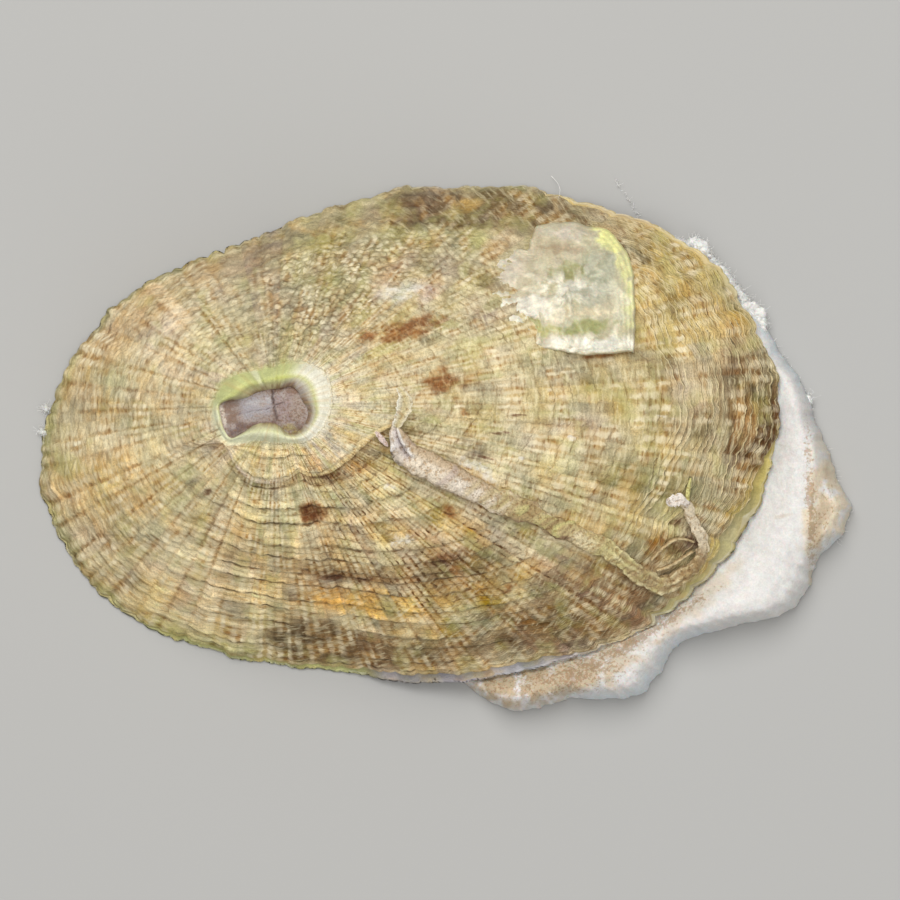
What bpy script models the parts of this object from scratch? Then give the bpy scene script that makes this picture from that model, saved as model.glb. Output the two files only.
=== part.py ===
# A keyhole limpet shell and what has grown on it, in metres with +Z up.
# The shell's hind end points along +X. The origin is the middle of the footprint, where it stands.
import math

import bpy
import numpy as np

MM = 0.001  # all lengths below are in millimetres
TURN = 2 * math.pi
GAP = 0.3  # left between pieces that touch
FLAT = 0.01  # a ball's point is on its waist or at its pole within this

# Shell: its rim from above, anticlockwise from the hind end
RIM_POINTS = (
    (18.0, 2.6), (16.6, 6.7), (15.1, 9.4), (12.4, 11.4), (8.8, 12.9), (4.6, 14.0), (0.6, 14.1),
    (-2.5, 14.0), (-7.4, 12.6), (-12.2, 10.7), (-15.1, 9.5), (-18.0, 7.5), (-20.4, 4.4), (-21.3, 2.0),
    (-21.8, -1.4), (-21.2, -3.9), (-19.2, -7.3), (-16.1, -9.6), (-11.6, -11.2), (-6.7, -11.9),
    (-0.6, -12.6), (5.4, -11.7), (10.5, -9.8), (13.7, -7.3), (15.8, -4.9), (17.4, -1.7),
)
KEYHOLE_CENTRE = np.array((-9.0, 2.3))
KEYHOLE_HALF_LENGTH = 2.35
KEYHOLE_HALF_WIDTH = 1.45
KEYHOLE_WAIST = 0.16  # how far the two knobs narrow the middle of the keyhole
KEYHOLE_KNOB_SHARPNESS = 8  # higher makes the knobs narrower
KEYHOLE_FLARE = 0.15  # the hole is this much wider inside the shell
TOP_HEIGHT = 12.7  # at the keyhole's edge, below the callus
RIM_LIFT = 1.9  # the margin is raised over the crust
LIFT_ANGLES = (-78.0, -44.0, 10.0, 44.0)  # degrees from the keyhole: starts, is full, ends being full, ends
STRAIGHT_FRONT, STRAIGHT_SIDE, STRAIGHT_HIND = 0.9, 0.68, 0.5  # 1 is a straight slope, 0 the roundest
WALL_AT_TOP = 1.5
RIM_LAND = 0.9  # width of the flat that the shell stands on
COLUMNS = 144  # two to each rib
RIB_HEIGHT = 0.24
RIB_START, RIB_FULL = 0.06, 0.3  # as shares of the way from keyhole to rim
LEDGES = (0.24, 0.42, 0.58, 0.73, 0.86)  # growth pauses, as shares of the way from keyhole to rim
LEDGE_RUN = 0.015
LEDGE_RISE = 0.1
PLAIN_RINGS = (0.14, 0.33, 0.5, 0.655, 0.8)
CALLUS_FOOT, CALLUS_CREST = 0.06, 0.02
CALLUS_RISE = 0.35
INNER_RINGS = 5

# Film across the keyhole
FILM_DEPTH = 1.3  # below the keyhole's edge
FILM_THICKNESS = 0.35
FILM_TUCK = 0.7  # how far it reaches under the shell
FILM_FACE = 0.6  # share of its radius that stands in the keyhole
FILM_CLEARANCE = 0.45  # from that face to the keyhole's wall
FILM_SEGMENTS, FILM_RINGS = 32, 12

# Young oyster: its outline from above, anticlockwise
OYSTER_CENTRE = np.array((6.6, 8.6))
OYSTER_POINTS = (
    (10.2, 8.2), (9.9, 10.0), (9.4, 11.0), (8.5, 11.7), (6.5, 12.2), (5.0, 11.8), (4.4, 11.0),
    (3.0, 11.0), (1.7, 9.6), (2.4, 7.2), (5.1, 5.6), (6.9, 5.4), (7.3, 4.9), (10.0, 5.1),
)
OYSTER_THICKNESS = 0.6
OYSTER_EDGE = 0.25
OYSTER_SEGMENTS, OYSTER_RINGS = 44, 8

# Worm tube: its route from above, from the mouth to the tail
TUBE_POINTS = (
    (-2.7, 1.7), (-2.8, 0.5), (-1.9, -0.4), (-0.6, -1.0), (1.0, -1.9), (2.9, -2.9), (4.9, -3.8),
    (7.0, -4.8), (9.2, -5.8), (10.9, -7.1), (12.1, -7.2), (13.4, -6.2), (13.9, -5.3), (13.6, -4.4),
    (13.1, -3.6), (12.9, -3.0), (12.2, -2.7),
)
TUBE_POINT_COUNT = 44
TUBE_RADIUS_MOUTH, TUBE_RADIUS_TAIL = 0.62, 0.4
TUBE_NARROWS = (0.1, 0.5)  # shares of the route over which it narrows

# Pale crust: its free edge from above, from its lower left end anticlockwise to its upper right end
CRUST_POINTS = (
    (1.0, -12.9), (3.1, -14.1), (6.2, -13.6), (10.2, -13.3), (11.4, -12.2), (12.2, -10.9), (13.3, -10.2),
    (16.1, -9.5), (18.5, -8.7), (19.7, -7.2), (20.3, -5.7), (21.5, -4.6), (21.9, -3.3), (21.2, -1.6),
    (20.4, 0.6), (19.6, 2.8), (18.2, 5.2), (16.7, 7.4), (15.0, 9.1), (14.0, 10.8), (12.4, 11.8),
)
CRUST_TUCK = 3.0  # how far it reaches under the shell
CRUST_SWELL = 0.9  # how far its widest part rises above the shell's margin
CRUST_SWELLS = (0.5, 3.0)  # it starts to swell where it sticks out this far, and swells in full here
CRUST_EDGE = 0.3
CRUST_SQUARENESS = 8  # higher makes its edges stand steeper
CRUST_BLUNTNESS = 24  # higher makes its two ends blunter
CRUST_SEGMENTS, CRUST_RINGS = 14, 40

# Colours: base colour, roughness
FINISHES = {
    "shell": ((0.50, 0.42, 0.24), 0.75),
    "keyhole_membrane": ((0.36, 0.31, 0.31), 0.5),
    "young_oyster": ((0.66, 0.64, 0.48), 0.55),
    "worm_tube": ((0.62, 0.52, 0.40), 0.65),
    "pale_crust": ((0.80, 0.79, 0.74), 0.7),
}


def clear_scene():
    for obj in list(bpy.data.objects):
        bpy.data.objects.remove(obj, do_unlink=True)


def smooth_line(points, closed, steps=16):
    """A Catmull-Rom curve through the points, with this many steps to each span."""
    points = np.asarray(points, float)
    share = (np.arange(steps) / steps)[:, None]
    line = []
    for i in range(len(points) if closed else len(points) - 1):
        a, b, c, d = points.take(range(i - 1, i + 3), axis=0, mode="wrap" if closed else "clip")
        bend = 2 * a - 5 * b + 4 * c - d + share * (3 * b - a - 3 * c + d)
        line.append(b + share / 2 * (c - a + share * bend))
    if not closed:
        line.append(points[-1:])
    return np.concatenate(line)


def even_points(line, count, closed):
    """This many points along the line, equally far apart."""
    if closed:
        line = np.concatenate([line, line[:1]])
    travelled = np.concatenate([[0], np.cumsum(np.hypot(*np.diff(line, axis=0).T))])
    wanted = np.linspace(0, travelled[-1], count, endpoint=not closed)
    return np.stack([np.interp(wanted, travelled, line[:, k]) for k in (0, 1)], axis=1)


def as_seen_from(centre, line):
    """The line's directions and distances from the centre."""
    away = line - centre
    return np.arctan2(away[:, 1], away[:, 0]), np.hypot(away[:, 0], away[:, 1])


def away_from(centre, angle, radius):
    return centre[0] + radius * np.cos(angle), centre[1] + radius * np.sin(angle)


def reach(outline, angle):
    """How far the outline lies from its centre in each direction."""
    return np.interp(angle, *outline, period=TURN)


def ease(start, end, value):
    share = np.clip((value - start) / (end - start), 0, 1)
    return share * share * (3 - 2 * share)


RIM = as_seen_from(KEYHOLE_CENTRE, smooth_line(RIM_POINTS, closed=True))


def keyhole_radius(angle):
    ellipse = 1 / np.hypot(np.cos(angle) / KEYHOLE_HALF_LENGTH, np.sin(angle) / KEYHOLE_HALF_WIDTH)
    return ellipse * (1 - KEYHOLE_WAIST * np.sin(angle) ** KEYHOLE_KNOB_SHARPNESS)


def rim_height(angle):
    starts, full, full_end, ends = np.radians(LIFT_ANGLES)
    angle = (angle + math.pi) % TURN - math.pi
    return RIM_LIFT * ease(starts, full, angle) * (1 - ease(full_end, ends, angle))


def straightness(angle):
    ahead = np.clip(-np.cos(angle), 0, 1) ** 2
    behind = np.clip(np.cos(angle), 0, 1) ** 2
    return STRAIGHT_SIDE + (STRAIGHT_FRONT - STRAIGHT_SIDE) * ahead + (STRAIGHT_HIND - STRAIGHT_SIDE) * behind


def slope_height(angle, share, top):
    """Height of a slope that falls from the top to the rim, at a share of the way out."""
    straight = straightness(angle)
    rim = rim_height(angle)
    return rim + (top - rim) * (1 - straight * share - (1 - straight) * share**2)


def steepness(angle, share):
    straight = straightness(angle)
    run = reach(RIM, angle) - keyhole_radius(angle)
    return (TOP_HEIGHT - rim_height(angle)) * (straight + 2 * (1 - straight) * share) / run


def surface_at(x, y):
    """Height and steepness of the shell's outer surface, without ribs, above a point."""
    angle, radius = as_seen_from(KEYHOLE_CENTRE, np.stack([x, y], axis=1))
    hole = keyhole_radius(angle)
    share = (radius - hole) / (reach(RIM, angle) - hole)
    return slope_height(angle, share, TOP_HEIGHT), steepness(angle, share)


def inner_surface(angle, share):
    """Radius and height of the shell's inner surface, at a share of the way from keyhole to rim."""
    start = keyhole_radius(angle) + KEYHOLE_FLARE
    radius = start + (reach(RIM, angle) - RIM_LAND - start) * share
    return radius, slope_height(angle, share, TOP_HEIGHT - WALL_AT_TOP)


def read_points(obj):
    points = np.empty(len(obj.data.vertices) * 3)
    obj.data.vertices.foreach_get("co", points)
    return points.reshape(-1, 3)


def write_points(obj, x, y, z):
    obj.data.vertices.foreach_set("co", (np.stack([x, y, z], axis=-1) * MM).ravel())
    obj.data.update()


def finish(obj, name, collection, sharp_angle=40):
    """Names the piece, moves it to the collection and gives it its material."""
    obj.name = obj.data.name = name
    for old in list(obj.users_collection):
        old.objects.unlink(obj)
    collection.objects.link(obj)
    colour, roughness = FINISHES[name]
    material = bpy.data.materials.new(name)
    material.use_nodes = True
    shader = material.node_tree.nodes["Principled BSDF"]
    shader.inputs["Base Color"].default_value = (*colour, 1)
    shader.inputs["Roughness"].default_value = roughness
    shader.inputs["Metallic"].default_value = 0
    obj.data.materials.clear()
    obj.data.materials.append(material)
    if obj.type == "MESH":
        obj.data.shade_smooth()
        obj.data.set_sharp_from_angle(angle=math.radians(sharp_angle))


def ball(segments, rings):
    """A sphere to reshape, with each point's share of the way between the poles and its direction."""
    bpy.ops.mesh.primitive_uv_sphere_add(segments=segments, ring_count=rings, radius=1)
    points = read_points(bpy.context.object)
    along = np.arccos(np.clip(points[:, 2], -1, 1)) / math.pi
    return bpy.context.object, along, np.arctan2(points[:, 1], points[:, 0])


def outer_rings():
    """(share of the way to the rim, height above the slope) from the rim up to the callus."""
    rings = [(1, 0), (CALLUS_FOOT, 0)] + [(share, 0) for share in PLAIN_RINGS]
    for ledge in LEDGES:
        rings += [(ledge, LEDGE_RISE), (ledge + LEDGE_RUN, -LEDGE_RISE / 2)]
    return sorted(rings, reverse=True) + [(CALLUS_CREST, CALLUS_RISE), (0, CALLUS_RISE / 2)]


def build_shell(collection):
    """A ring bent round the keyhole: up the ribbed outside, over the callus and down the inside."""
    outside = outer_rings()
    minor = len(outside) + INNER_RINGS + 1
    bpy.ops.mesh.primitive_torus_add(major_segments=COLUMNS, minor_segments=minor)
    obj = bpy.context.object
    columns = even_points(smooth_line(RIM_POINTS, closed=True), COLUMNS, closed=True)
    angle, rim = as_seen_from(KEYHOLE_CENTRE, columns)
    hole = keyhole_radius(angle)
    crest = np.where(np.arange(COLUMNS) % 2, -1, 1) * RIB_HEIGHT / 2
    radii, heights = [], []
    for share, rise in outside:
        slope = steepness(angle, share)
        proud = (rise + crest * ease(RIB_START, RIB_FULL, share)) / np.hypot(slope, 1)
        lift = 0 if share == 1 else proud
        radii.append(hole + (rim - hole) * share + proud * slope)
        heights.append(slope_height(angle, share, TOP_HEIGHT) + lift)
    for share in np.linspace(0, 1, INNER_RINGS + 1):
        radius, height = inner_surface(angle, share)
        radii.append(radius)
        heights.append(height)
    x, y = away_from(KEYHOLE_CENTRE, angle[:, None], np.stack(radii, axis=1))
    write_points(obj, x, y, np.stack(heights, axis=1))
    finish(obj, "shell", collection)


def build_film(collection):
    """The film stands in the keyhole, with its edge under the shell."""
    obj, along, angle = ball(FILM_SEGMENTS, FILM_RINGS)
    hole = keyhole_radius(angle)
    face = hole - FILM_CLEARANCE
    share = np.sin(along * math.pi)
    beyond = (share - FILM_FACE) / (1 - FILM_FACE)
    radius = np.where(beyond < 0, share / FILM_FACE * face, face + (hole + FILM_TUCK - face) * beyond)
    inside = (radius - inner_surface(angle, 0)[0]) / (reach(RIM, angle) - hole)
    under = slope_height(angle, np.clip(inside, 0, 1), TOP_HEIGHT - WALL_AT_TOP) - GAP
    height = np.where(beyond < 0, TOP_HEIGHT - FILM_DEPTH, under)
    upper = np.cos(along * math.pi)
    height -= FILM_THICKNESS * np.where(upper > FLAT, 0, np.where(upper < -FLAT, 1, 0.5))
    write_points(obj, *away_from(KEYHOLE_CENTRE, angle, radius), height)
    finish(obj, "keyhole_membrane", collection)


def build_oyster(collection):
    """A thin scale that lies along the shell's slope, thickest in its middle."""
    obj, along, angle = ball(OYSTER_SEGMENTS, OYSTER_RINGS)
    outline = as_seen_from(OYSTER_CENTRE, smooth_line(OYSTER_POINTS, closed=True))
    share = np.sin(along * math.pi)
    x, y = away_from(OYSTER_CENTRE, angle, share * reach(outline, angle))
    height, slope = surface_at(x, y)
    under = (RIB_HEIGHT / 2 + LEDGE_RISE + GAP) * np.hypot(slope, 1)
    thickness = OYSTER_EDGE + (OYSTER_THICKNESS - OYSTER_EDGE) * (1 - share**4)
    upper = np.cos(along * math.pi)
    height += under + thickness * np.where(upper > FLAT, 1, np.where(upper < -FLAT, 0, 0.5))
    write_points(obj, x, y, height)
    finish(obj, "young_oyster", collection)


def build_worm_tube(collection):
    """The tube lies on the shell along its route and narrows towards the tail."""
    route = even_points(smooth_line(TUBE_POINTS, closed=False), TUBE_POINT_COUNT, closed=False)
    share = np.linspace(0, 1, TUBE_POINT_COUNT)
    radius = TUBE_RADIUS_MOUTH + (TUBE_RADIUS_TAIL - TUBE_RADIUS_MOUTH) * ease(*TUBE_NARROWS, share)
    height, slope = surface_at(*route.T)
    height += (RIB_HEIGHT / 2 + LEDGE_RISE + GAP + radius) * np.hypot(slope, 1)
    curve = bpy.data.curves.new("worm_tube", "CURVE")
    curve.dimensions = "3D"
    curve.bevel_depth = MM
    curve.bevel_resolution = 2
    curve.use_fill_caps = True
    spline = curve.splines.new("POLY")
    spline.points.add(TUBE_POINT_COUNT - 1)
    for point, (x, y), z, r in zip(spline.points, route, height, radius):
        point.co = (x * MM, y * MM, z * MM, 1)
        point.radius = r
    obj = bpy.data.objects.new("worm_tube", curve)
    bpy.context.scene.collection.objects.link(obj)
    finish(obj, "worm_tube", collection)


def build_crust(collection):
    """A flat-bottomed swelling with its inner edge under the raised margin of the shell."""
    obj, along, around = ball(CRUST_SEGMENTS, CRUST_RINGS)
    angles, edge = as_seen_from(KEYHOLE_CENTRE, smooth_line(CRUST_POINTS, closed=False))
    angle = angles[0] + (angles[-1] - angles[0]) * along
    rim = reach(RIM, angle)
    inner = rim - CRUST_TUCK
    outer = np.interp(angle, np.maximum.accumulate(angles), edge)
    taper = (1 - (2 * along - 1) ** CRUST_BLUNTNESS) ** 0.5
    middle = (inner + outer) / 2
    across = np.cos(around) * taper
    radius = middle + (outer - inner) / 2 * across
    out = outer - rim
    beyond = np.clip((radius - rim) / np.maximum(out, GAP), 0, 1)
    swell = CRUST_SWELL * ease(*CRUST_SWELLS, out) * np.sin(beyond * math.pi)
    rounded = (1 - across**CRUST_SQUARENESS) ** 0.5 * taper
    top = CRUST_EDGE + (rim_height(angle) - GAP - CRUST_EDGE) * rounded + swell
    upper = np.sin(around)
    height = np.where(upper > FLAT, top, np.where(upper < -FLAT, 0, CRUST_EDGE))
    height = np.where((along < FLAT) | (along > 1 - FLAT), CRUST_EDGE, height)
    write_points(obj, *away_from(KEYHOLE_CENTRE, angle, radius), height)
    finish(obj, "pale_crust", collection)


def main():
    clear_scene()
    collection = bpy.data.collections.new("keyhole_limpet_shell")
    bpy.context.scene.collection.children.link(collection)
    build_shell(collection)
    build_film(collection)
    build_oyster(collection)
    build_worm_tube(collection)
    build_crust(collection)


main()
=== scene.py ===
import math

import bpy
import numpy as np
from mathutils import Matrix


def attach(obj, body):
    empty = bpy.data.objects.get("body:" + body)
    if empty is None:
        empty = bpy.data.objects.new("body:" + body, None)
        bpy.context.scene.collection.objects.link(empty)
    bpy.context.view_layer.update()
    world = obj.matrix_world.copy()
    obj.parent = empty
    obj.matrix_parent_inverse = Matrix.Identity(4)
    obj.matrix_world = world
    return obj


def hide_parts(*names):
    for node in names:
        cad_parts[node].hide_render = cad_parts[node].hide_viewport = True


# A keyhole limpet shell, dressed over its CAD solids. Lengths are in millimetres until a mesh is written.
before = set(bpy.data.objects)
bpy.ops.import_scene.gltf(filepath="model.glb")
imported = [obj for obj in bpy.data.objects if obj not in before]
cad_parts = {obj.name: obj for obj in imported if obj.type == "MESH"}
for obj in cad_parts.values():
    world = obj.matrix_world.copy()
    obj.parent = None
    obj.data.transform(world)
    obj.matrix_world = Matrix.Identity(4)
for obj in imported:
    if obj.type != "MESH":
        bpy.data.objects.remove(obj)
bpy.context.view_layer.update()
bpy.ops.object.select_all(action="DESELECT")
mm = 0.001
fullTurn = 2 * math.pi
floorGap = 0.03  # relief and fibres come no nearer to the floor


def ease(start, end, value):
    share = np.clip((value - start) / (end - start), 0, 1)
    return share * share * (3 - 2 * share)


def mix(a, b, share):
    return a + (b - a) * share


def tinted(colour, tint, mask):  # a tint laid over a colour where the mask is 1
    return mix(np.asarray(colour), np.asarray(tint), mask[..., None])


def window(value, middle, half, soft):  # 1 within half of the middle, fading to 0 over soft
    return 1 - ease(half, half + soft, np.abs(value - middle))


def turnFrom(angle, middle):  # degrees from a direction, the short way round
    return (np.degrees(angle) - middle + 180) % 360 - 180


def sector(angle, middle, half, soft):
    return 1 - ease(half, half + soft, np.abs(turnFrom(angle, middle)))


def cloud(x, y, size, seed, octaves=3):  # soft random patches of about this size, mostly from -1 to 1
    columns, rows = 97, 89  # of the table of random heights
    shiftX, shiftY, gain = 40.3, 31.7, 1.5
    x, y = np.broadcast_arrays(np.asarray(x, float), np.asarray(y, float))
    total, weight = np.zeros(x.shape), 0
    for octave in range(octaves):
        table = np.random.default_rng(seed * 10 + octave).uniform(-1, 1, (columns, rows))
        u, v = x / size + shiftX, y / size + shiftY
        i, j = np.floor(u).astype(int), np.floor(v).astype(int)
        s, t = ease(0, 1, u - i), ease(0, 1, v - j)
        i, nextI, j, nextJ = i % columns, (i + 1) % columns, j % rows, (j + 1) % rows
        near, far = mix(table[i, j], table[nextI, j], s), mix(table[i, nextJ], table[nextI, nextJ], s)
        total += mix(near, far, t) * 0.5**octave
        weight += 0.5**octave
        size = size / 2
    return total / weight * gain


def spotMask(x, y, place, long, wide, turn):  # 1 in the middle of a turned oval, fading outwards
    turn = math.radians(turn)
    dx, dy = x - place[0], y - place[1]
    a, b = dx * math.cos(turn) + dy * math.sin(turn), dy * math.cos(turn) - dx * math.sin(turn)
    return np.exp(-0.7 * ((a / long) ** 2 + (b / wide) ** 2))


def smoothLine(points, closed, steps=16):  # a rounded curve through the points
    points = np.asarray(points, float)
    share = (np.arange(steps) / steps)[:, None]
    line = []
    for i in range(len(points) if closed else len(points) - 1):
        a, b, c, d = points.take(range(i - 1, i + 3), axis=0, mode="wrap" if closed else "clip")
        bend = 2 * a - 5 * b + 4 * c - d + share * (3 * b - a - 3 * c + d)
        line.append(b + share / 2 * (c - a + share * bend))
    if not closed:
        line.append(points[-1:])
    return np.concatenate(line)


def alongLine(line, shares, closed):  # points at these shares of the line's length
    if closed:
        line = np.concatenate([line, line[:1]])
    travelled = np.concatenate([[0], np.cumsum(np.linalg.norm(np.diff(line, axis=0), axis=1))])
    wanted = np.asarray(shares) * travelled[-1]
    return np.stack([np.interp(wanted, travelled, line[:, k]) for k in range(line.shape[1])], axis=-1)


def asSeenFrom(centre, line):
    away = np.asarray(line) - centre
    return np.arctan2(away[..., 1], away[..., 0]), np.hypot(away[..., 0], away[..., 1])


def reach(outline, angle):  # how far an outline lies from its centre in each direction
    return np.interp(angle, *outline, period=fullTurn)


# The shell's plain form, as in the CAD model
form = {
    "rim": (
        (18.0, 2.6), (16.6, 6.7), (15.1, 9.4), (12.4, 11.4), (8.8, 12.9), (4.6, 14.0), (0.6, 14.1),
        (-2.5, 14.0), (-7.4, 12.6), (-12.2, 10.7), (-15.1, 9.5), (-18.0, 7.5), (-20.4, 4.4), (-21.3, 2.0),
        (-21.8, -1.4), (-21.2, -3.9), (-19.2, -7.3), (-16.1, -9.6), (-11.6, -11.2), (-6.7, -11.9),
        (-0.6, -12.6), (5.4, -11.7), (10.5, -9.8), (13.7, -7.3), (15.8, -4.9), (17.4, -1.7),
    ),
    "centre": np.array((-9.0, 2.3)),  # of the keyhole
    "holeLength": 2.35,
    "holeWidth": 1.45,
    "waist": 0.16,
    "top": 12.7,
    "rimLift": 1.9,
    "liftAngles": (-78.0, -44.0, 10.0, 44.0),
    "straight": (0.9, 0.68, 0.5),  # front, sides, hind
    "wall": 1.5,
    "land": 0.9,
}
rimLine = smoothLine(form["rim"], closed=True)
rimOutline = asSeenFrom(form["centre"], rimLine)


def placeAt(angle, radius):  # the point this far from the keyhole's centre
    return form["centre"][0] + radius * np.cos(angle), form["centre"][1] + radius * np.sin(angle)


def holeRadius(angle):
    ellipse = 1 / np.hypot(np.cos(angle) / form["holeLength"], np.sin(angle) / form["holeWidth"])
    return ellipse * (1 - form["waist"] * np.sin(angle) ** 8)


def rimHeight(angle):
    starts, full, fullEnd, ends = np.radians(form["liftAngles"])
    angle = (angle + math.pi) % fullTurn - math.pi
    return form["rimLift"] * ease(starts, full, angle) * (1 - ease(fullEnd, ends, angle))


def straightness(angle):
    front, side, hind = form["straight"]
    ahead, behind = np.clip(-np.cos(angle), 0, 1) ** 2, np.clip(np.cos(angle), 0, 1) ** 2
    return side + (front - side) * ahead + (hind - side) * behind


def slopeHeight(angle, share, top):
    straight, rim = straightness(angle), rimHeight(angle)
    return rim + (top - rim) * (1 - straight * share - (1 - straight) * share**2)


def slopeAt(angle, radius):  # share of the way out, height and steepness of the plain outer surface
    hole = holeRadius(angle)
    run = reach(rimOutline, angle) - hole
    share = (radius - hole) / run
    straight = straightness(angle)
    steep = (form["top"] - rimHeight(angle)) * (straight + 2 * (1 - straight) * np.clip(share, 0, 1)) / run
    return share, slopeHeight(angle, share, form["top"]), steep


def surfaceAt(x, y):  # height and steepness of the plain surface above a point
    angle, radius = asSeenFrom(form["centre"], np.stack([x, y], axis=-1))
    share, height, steep = slopeAt(angle, radius)
    return height, steep, share, angle


# Meshes
def gridMesh(name, columns, rows):  # a flat grid, to be bent into a closed skin
    bpy.ops.mesh.primitive_grid_add(x_subdivisions=columns, y_subdivisions=rows, size=1)
    obj = bpy.context.object
    obj.name = obj.data.name = name
    return obj


def writePoints(obj, x, y, z):
    obj.data.vertices.foreach_set("co", (np.stack([x, y, z], axis=-1) * mm).ravel())
    obj.data.update()


def writeColour(obj, name, colour, alpha=None):
    shape = colour.shape[:-1]
    alpha = np.ones(shape) if alpha is None else alpha
    values = np.concatenate([np.clip(colour, 0, 1), np.clip(alpha, 0, 1)[..., None]], axis=-1)
    layer = obj.data.color_attributes.new(name, "FLOAT_COLOR", "POINT")
    layer.data.foreach_set("color", values.astype(np.float32).ravel())


def writeMap(obj, name, u, v):  # a UV map from one pair of values for each point
    corners = np.empty(len(obj.data.loops), int)
    obj.data.loops.foreach_get("vertex_index", corners)
    layer = obj.data.uv_layers[0]
    layer.name = name
    values = np.stack([u.ravel()[corners], v.ravel()[corners]], axis=-1)
    layer.uv.foreach_set("vector", values.astype(np.float32).ravel())


def closeSeams(obj, distance=0.001):
    bpy.context.view_layer.objects.active = obj
    bpy.ops.object.mode_set(mode="EDIT")
    bpy.ops.mesh.select_all(action="SELECT")
    bpy.ops.mesh.remove_doubles(threshold=distance * mm)
    bpy.ops.object.mode_set(mode="OBJECT")
    bpy.ops.object.shade_smooth()


def joinInto(target, parts):
    for part in [*parts, target]:
        part.select_set(True)
    bpy.context.view_layer.objects.active = target
    bpy.ops.object.join()


def settle(obj, node, material):  # the finished piece stands for its CAD node
    obj.data.materials.clear()
    obj.data.materials.append(material)
    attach(obj, "root")
    if node:
        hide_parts(node)
    obj.select_set(False)
    print(f"{obj.name}: {len(obj.data.polygons)} faces")


# Material nodes
class Nodes:
    def __init__(self, name):
        self.material = bpy.data.materials.new(name)
        self.material.use_nodes = True
        self.tree = self.material.node_tree
        self.shader = self.tree.nodes["Principled BSDF"]

    def add(self, kind, inputs, output=0, **settings):
        node = self.tree.nodes.new("ShaderNode" + kind)
        for name, value in settings.items():
            setattr(node, name, value)
        for socket, value in inputs.items():
            self.put(node.inputs[socket], value)
        return node.outputs[output]

    def put(self, socket, value):
        if isinstance(value, bpy.types.NodeSocket):
            self.tree.links.new(value, socket)
        else:
            socket.default_value = value

    def set(self, **sockets):
        for name, value in sockets.items():
            self.put(self.shader.inputs[name.replace("_", " ")], value)

    def sum(self, operation, *values, clamp=False):
        return self.add("Math", dict(enumerate(values)), operation=operation, use_clamp=clamp)

    def times(self, first, *others):
        for other in others:
            first = self.sum("MULTIPLY", first, other)
        return first

    def between(self, value, low, high, start=0.0, end=1.0):  # a smooth step from low to high
        inputs = {"Value": value, "From Min": low, "From Max": high, "To Min": start, "To Max": end}
        return self.add("MapRange", inputs, interpolation_type="SMOOTHSTEP")

    def mix(self, share, a, b, blend="MIX"):
        return self.add("Mix", {0: share, 6: a, 7: b}, 2, data_type="RGBA", blend_type=blend)

    def paint(self, name, output="Color"):
        return self.add("Attribute", {}, output, attribute_name=name)

    def split(self, colour):
        node = self.tree.nodes.new("ShaderNodeSeparateColor")
        self.put(node.inputs[0], colour)
        return node.outputs[0], node.outputs[1], node.outputs[2]

    def place(self):
        return self.add("TexCoord", {}, "Object")

    def noise(self, size, detail, output="Factor", rough=0.55):  # patches of this size in mm
        inputs = {"Vector": self.place(), "Scale": 1 / (size * mm), "Detail": detail, "Roughness": rough}
        return self.add("TexNoise", inputs, {"Factor": 0, "Color": 1}[output])

    def bump(self, height, depth, strength):  # depth in mm
        return self.add("Bump", {"Strength": strength, "Distance": depth * mm, "Height": height})


# Shell
shellSizes = {
    "ribs": 145,
    "columnsPerRib": 5,
    "growthLines": 39,
    "innerRings": 9,
    "grooveDepth": (0.045, 0.075, 0.08, 0.035),  # hind, lower side, front, upper side
    "growthEdge": (0.05, 0.085, 0.03, 0.03),
    "growthEdgeHind": 0.10,  # more, where growth lines crowd near the hind rim
    "bead": (0.03, 0.05, 0.05, 0.06),
    "lumps": (0.01, 0.01, 0.03, 0.08),  # round grains that keep to no row
    "patchUnit": 0.33,  # usual width of a growth line, by which patches of colour are sized
    "foldHeight": (0.09, 0.05, 0.10, 0.06),
    "scallop": (0.10, 0.03, 0.04, 0.03),  # how far growth edges bow out on each fold
    "ripple": (0.09, 0.03, 0.04, 0.04),  # and how far they wander
    "ribEnd": (0.06, 0.04, 0.11, 0.09),  # how far each rib stands out at the rim
    "grain": 0.05,
    "waves": 0.10,
    "edgeHeight": 0.22,  # bluntness of the rim
    "plateLine": 6,
    "plateStep": 0.36,  # broken old layer round the keyhole
    "plateRidge": 0.14,  # and the cord along its edge
    "plateFade": 9,  # growth lines that give way beyond it
    "darkRowLine": 19,
    "darkRowStep": 0.14,
    "callusRise": 0.26,
    "rimFlat": 0.15,  # width of the flat the rim stands on
    "scarPlace": 0.6,  # muscle scar inside: share of the way out, its sway and its depth
    "scarSway": 0.05,
    "scarDepth": 0.09,
    "travelSpan": 100.0,  # keeps the painted distances between 0 and 1
}
bandOffsets = (0.06, 0.46, 0.86)  # rings of each growth band, outwards: foot, back, edge
hindSpacing = (  # growth line, and its share of the way out at the hind end, where they bunch up
    (0, 0), (23, 0.775), (26, 0.812), (27, 0.838), (31, 0.884), (32, 0.912), (33, 0.932), (38, 1),
)
hindCrests = (23, 24, 25, 27, 28, 29, 30, 32, 33, 34, 35, 36, 37, 38)  # bands with a crisp pale edge there
keyholeEdge = (  # where the lip meets the film, from the keyhole's centre
    (1.76, -0.35), (1.45, 0.25), (1.2, 0.75), (0.85, 1.0), (0.3, 0.9), (-0.3, 0.85), (-0.9, 0.7),
    (-1.5, 0.42), (-2.1, 0.3), (-2.75, 0.05), (-2.7, -0.6), (-2.5, -1.25), (-2.15, -1.6), (-1.6, -1.35),
    (-1.0, -1.0), (-0.3, -0.9), (0.2, -1.05), (0.6, -1.4), (1.1, -1.42), (1.5, -1.1),
)
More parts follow.
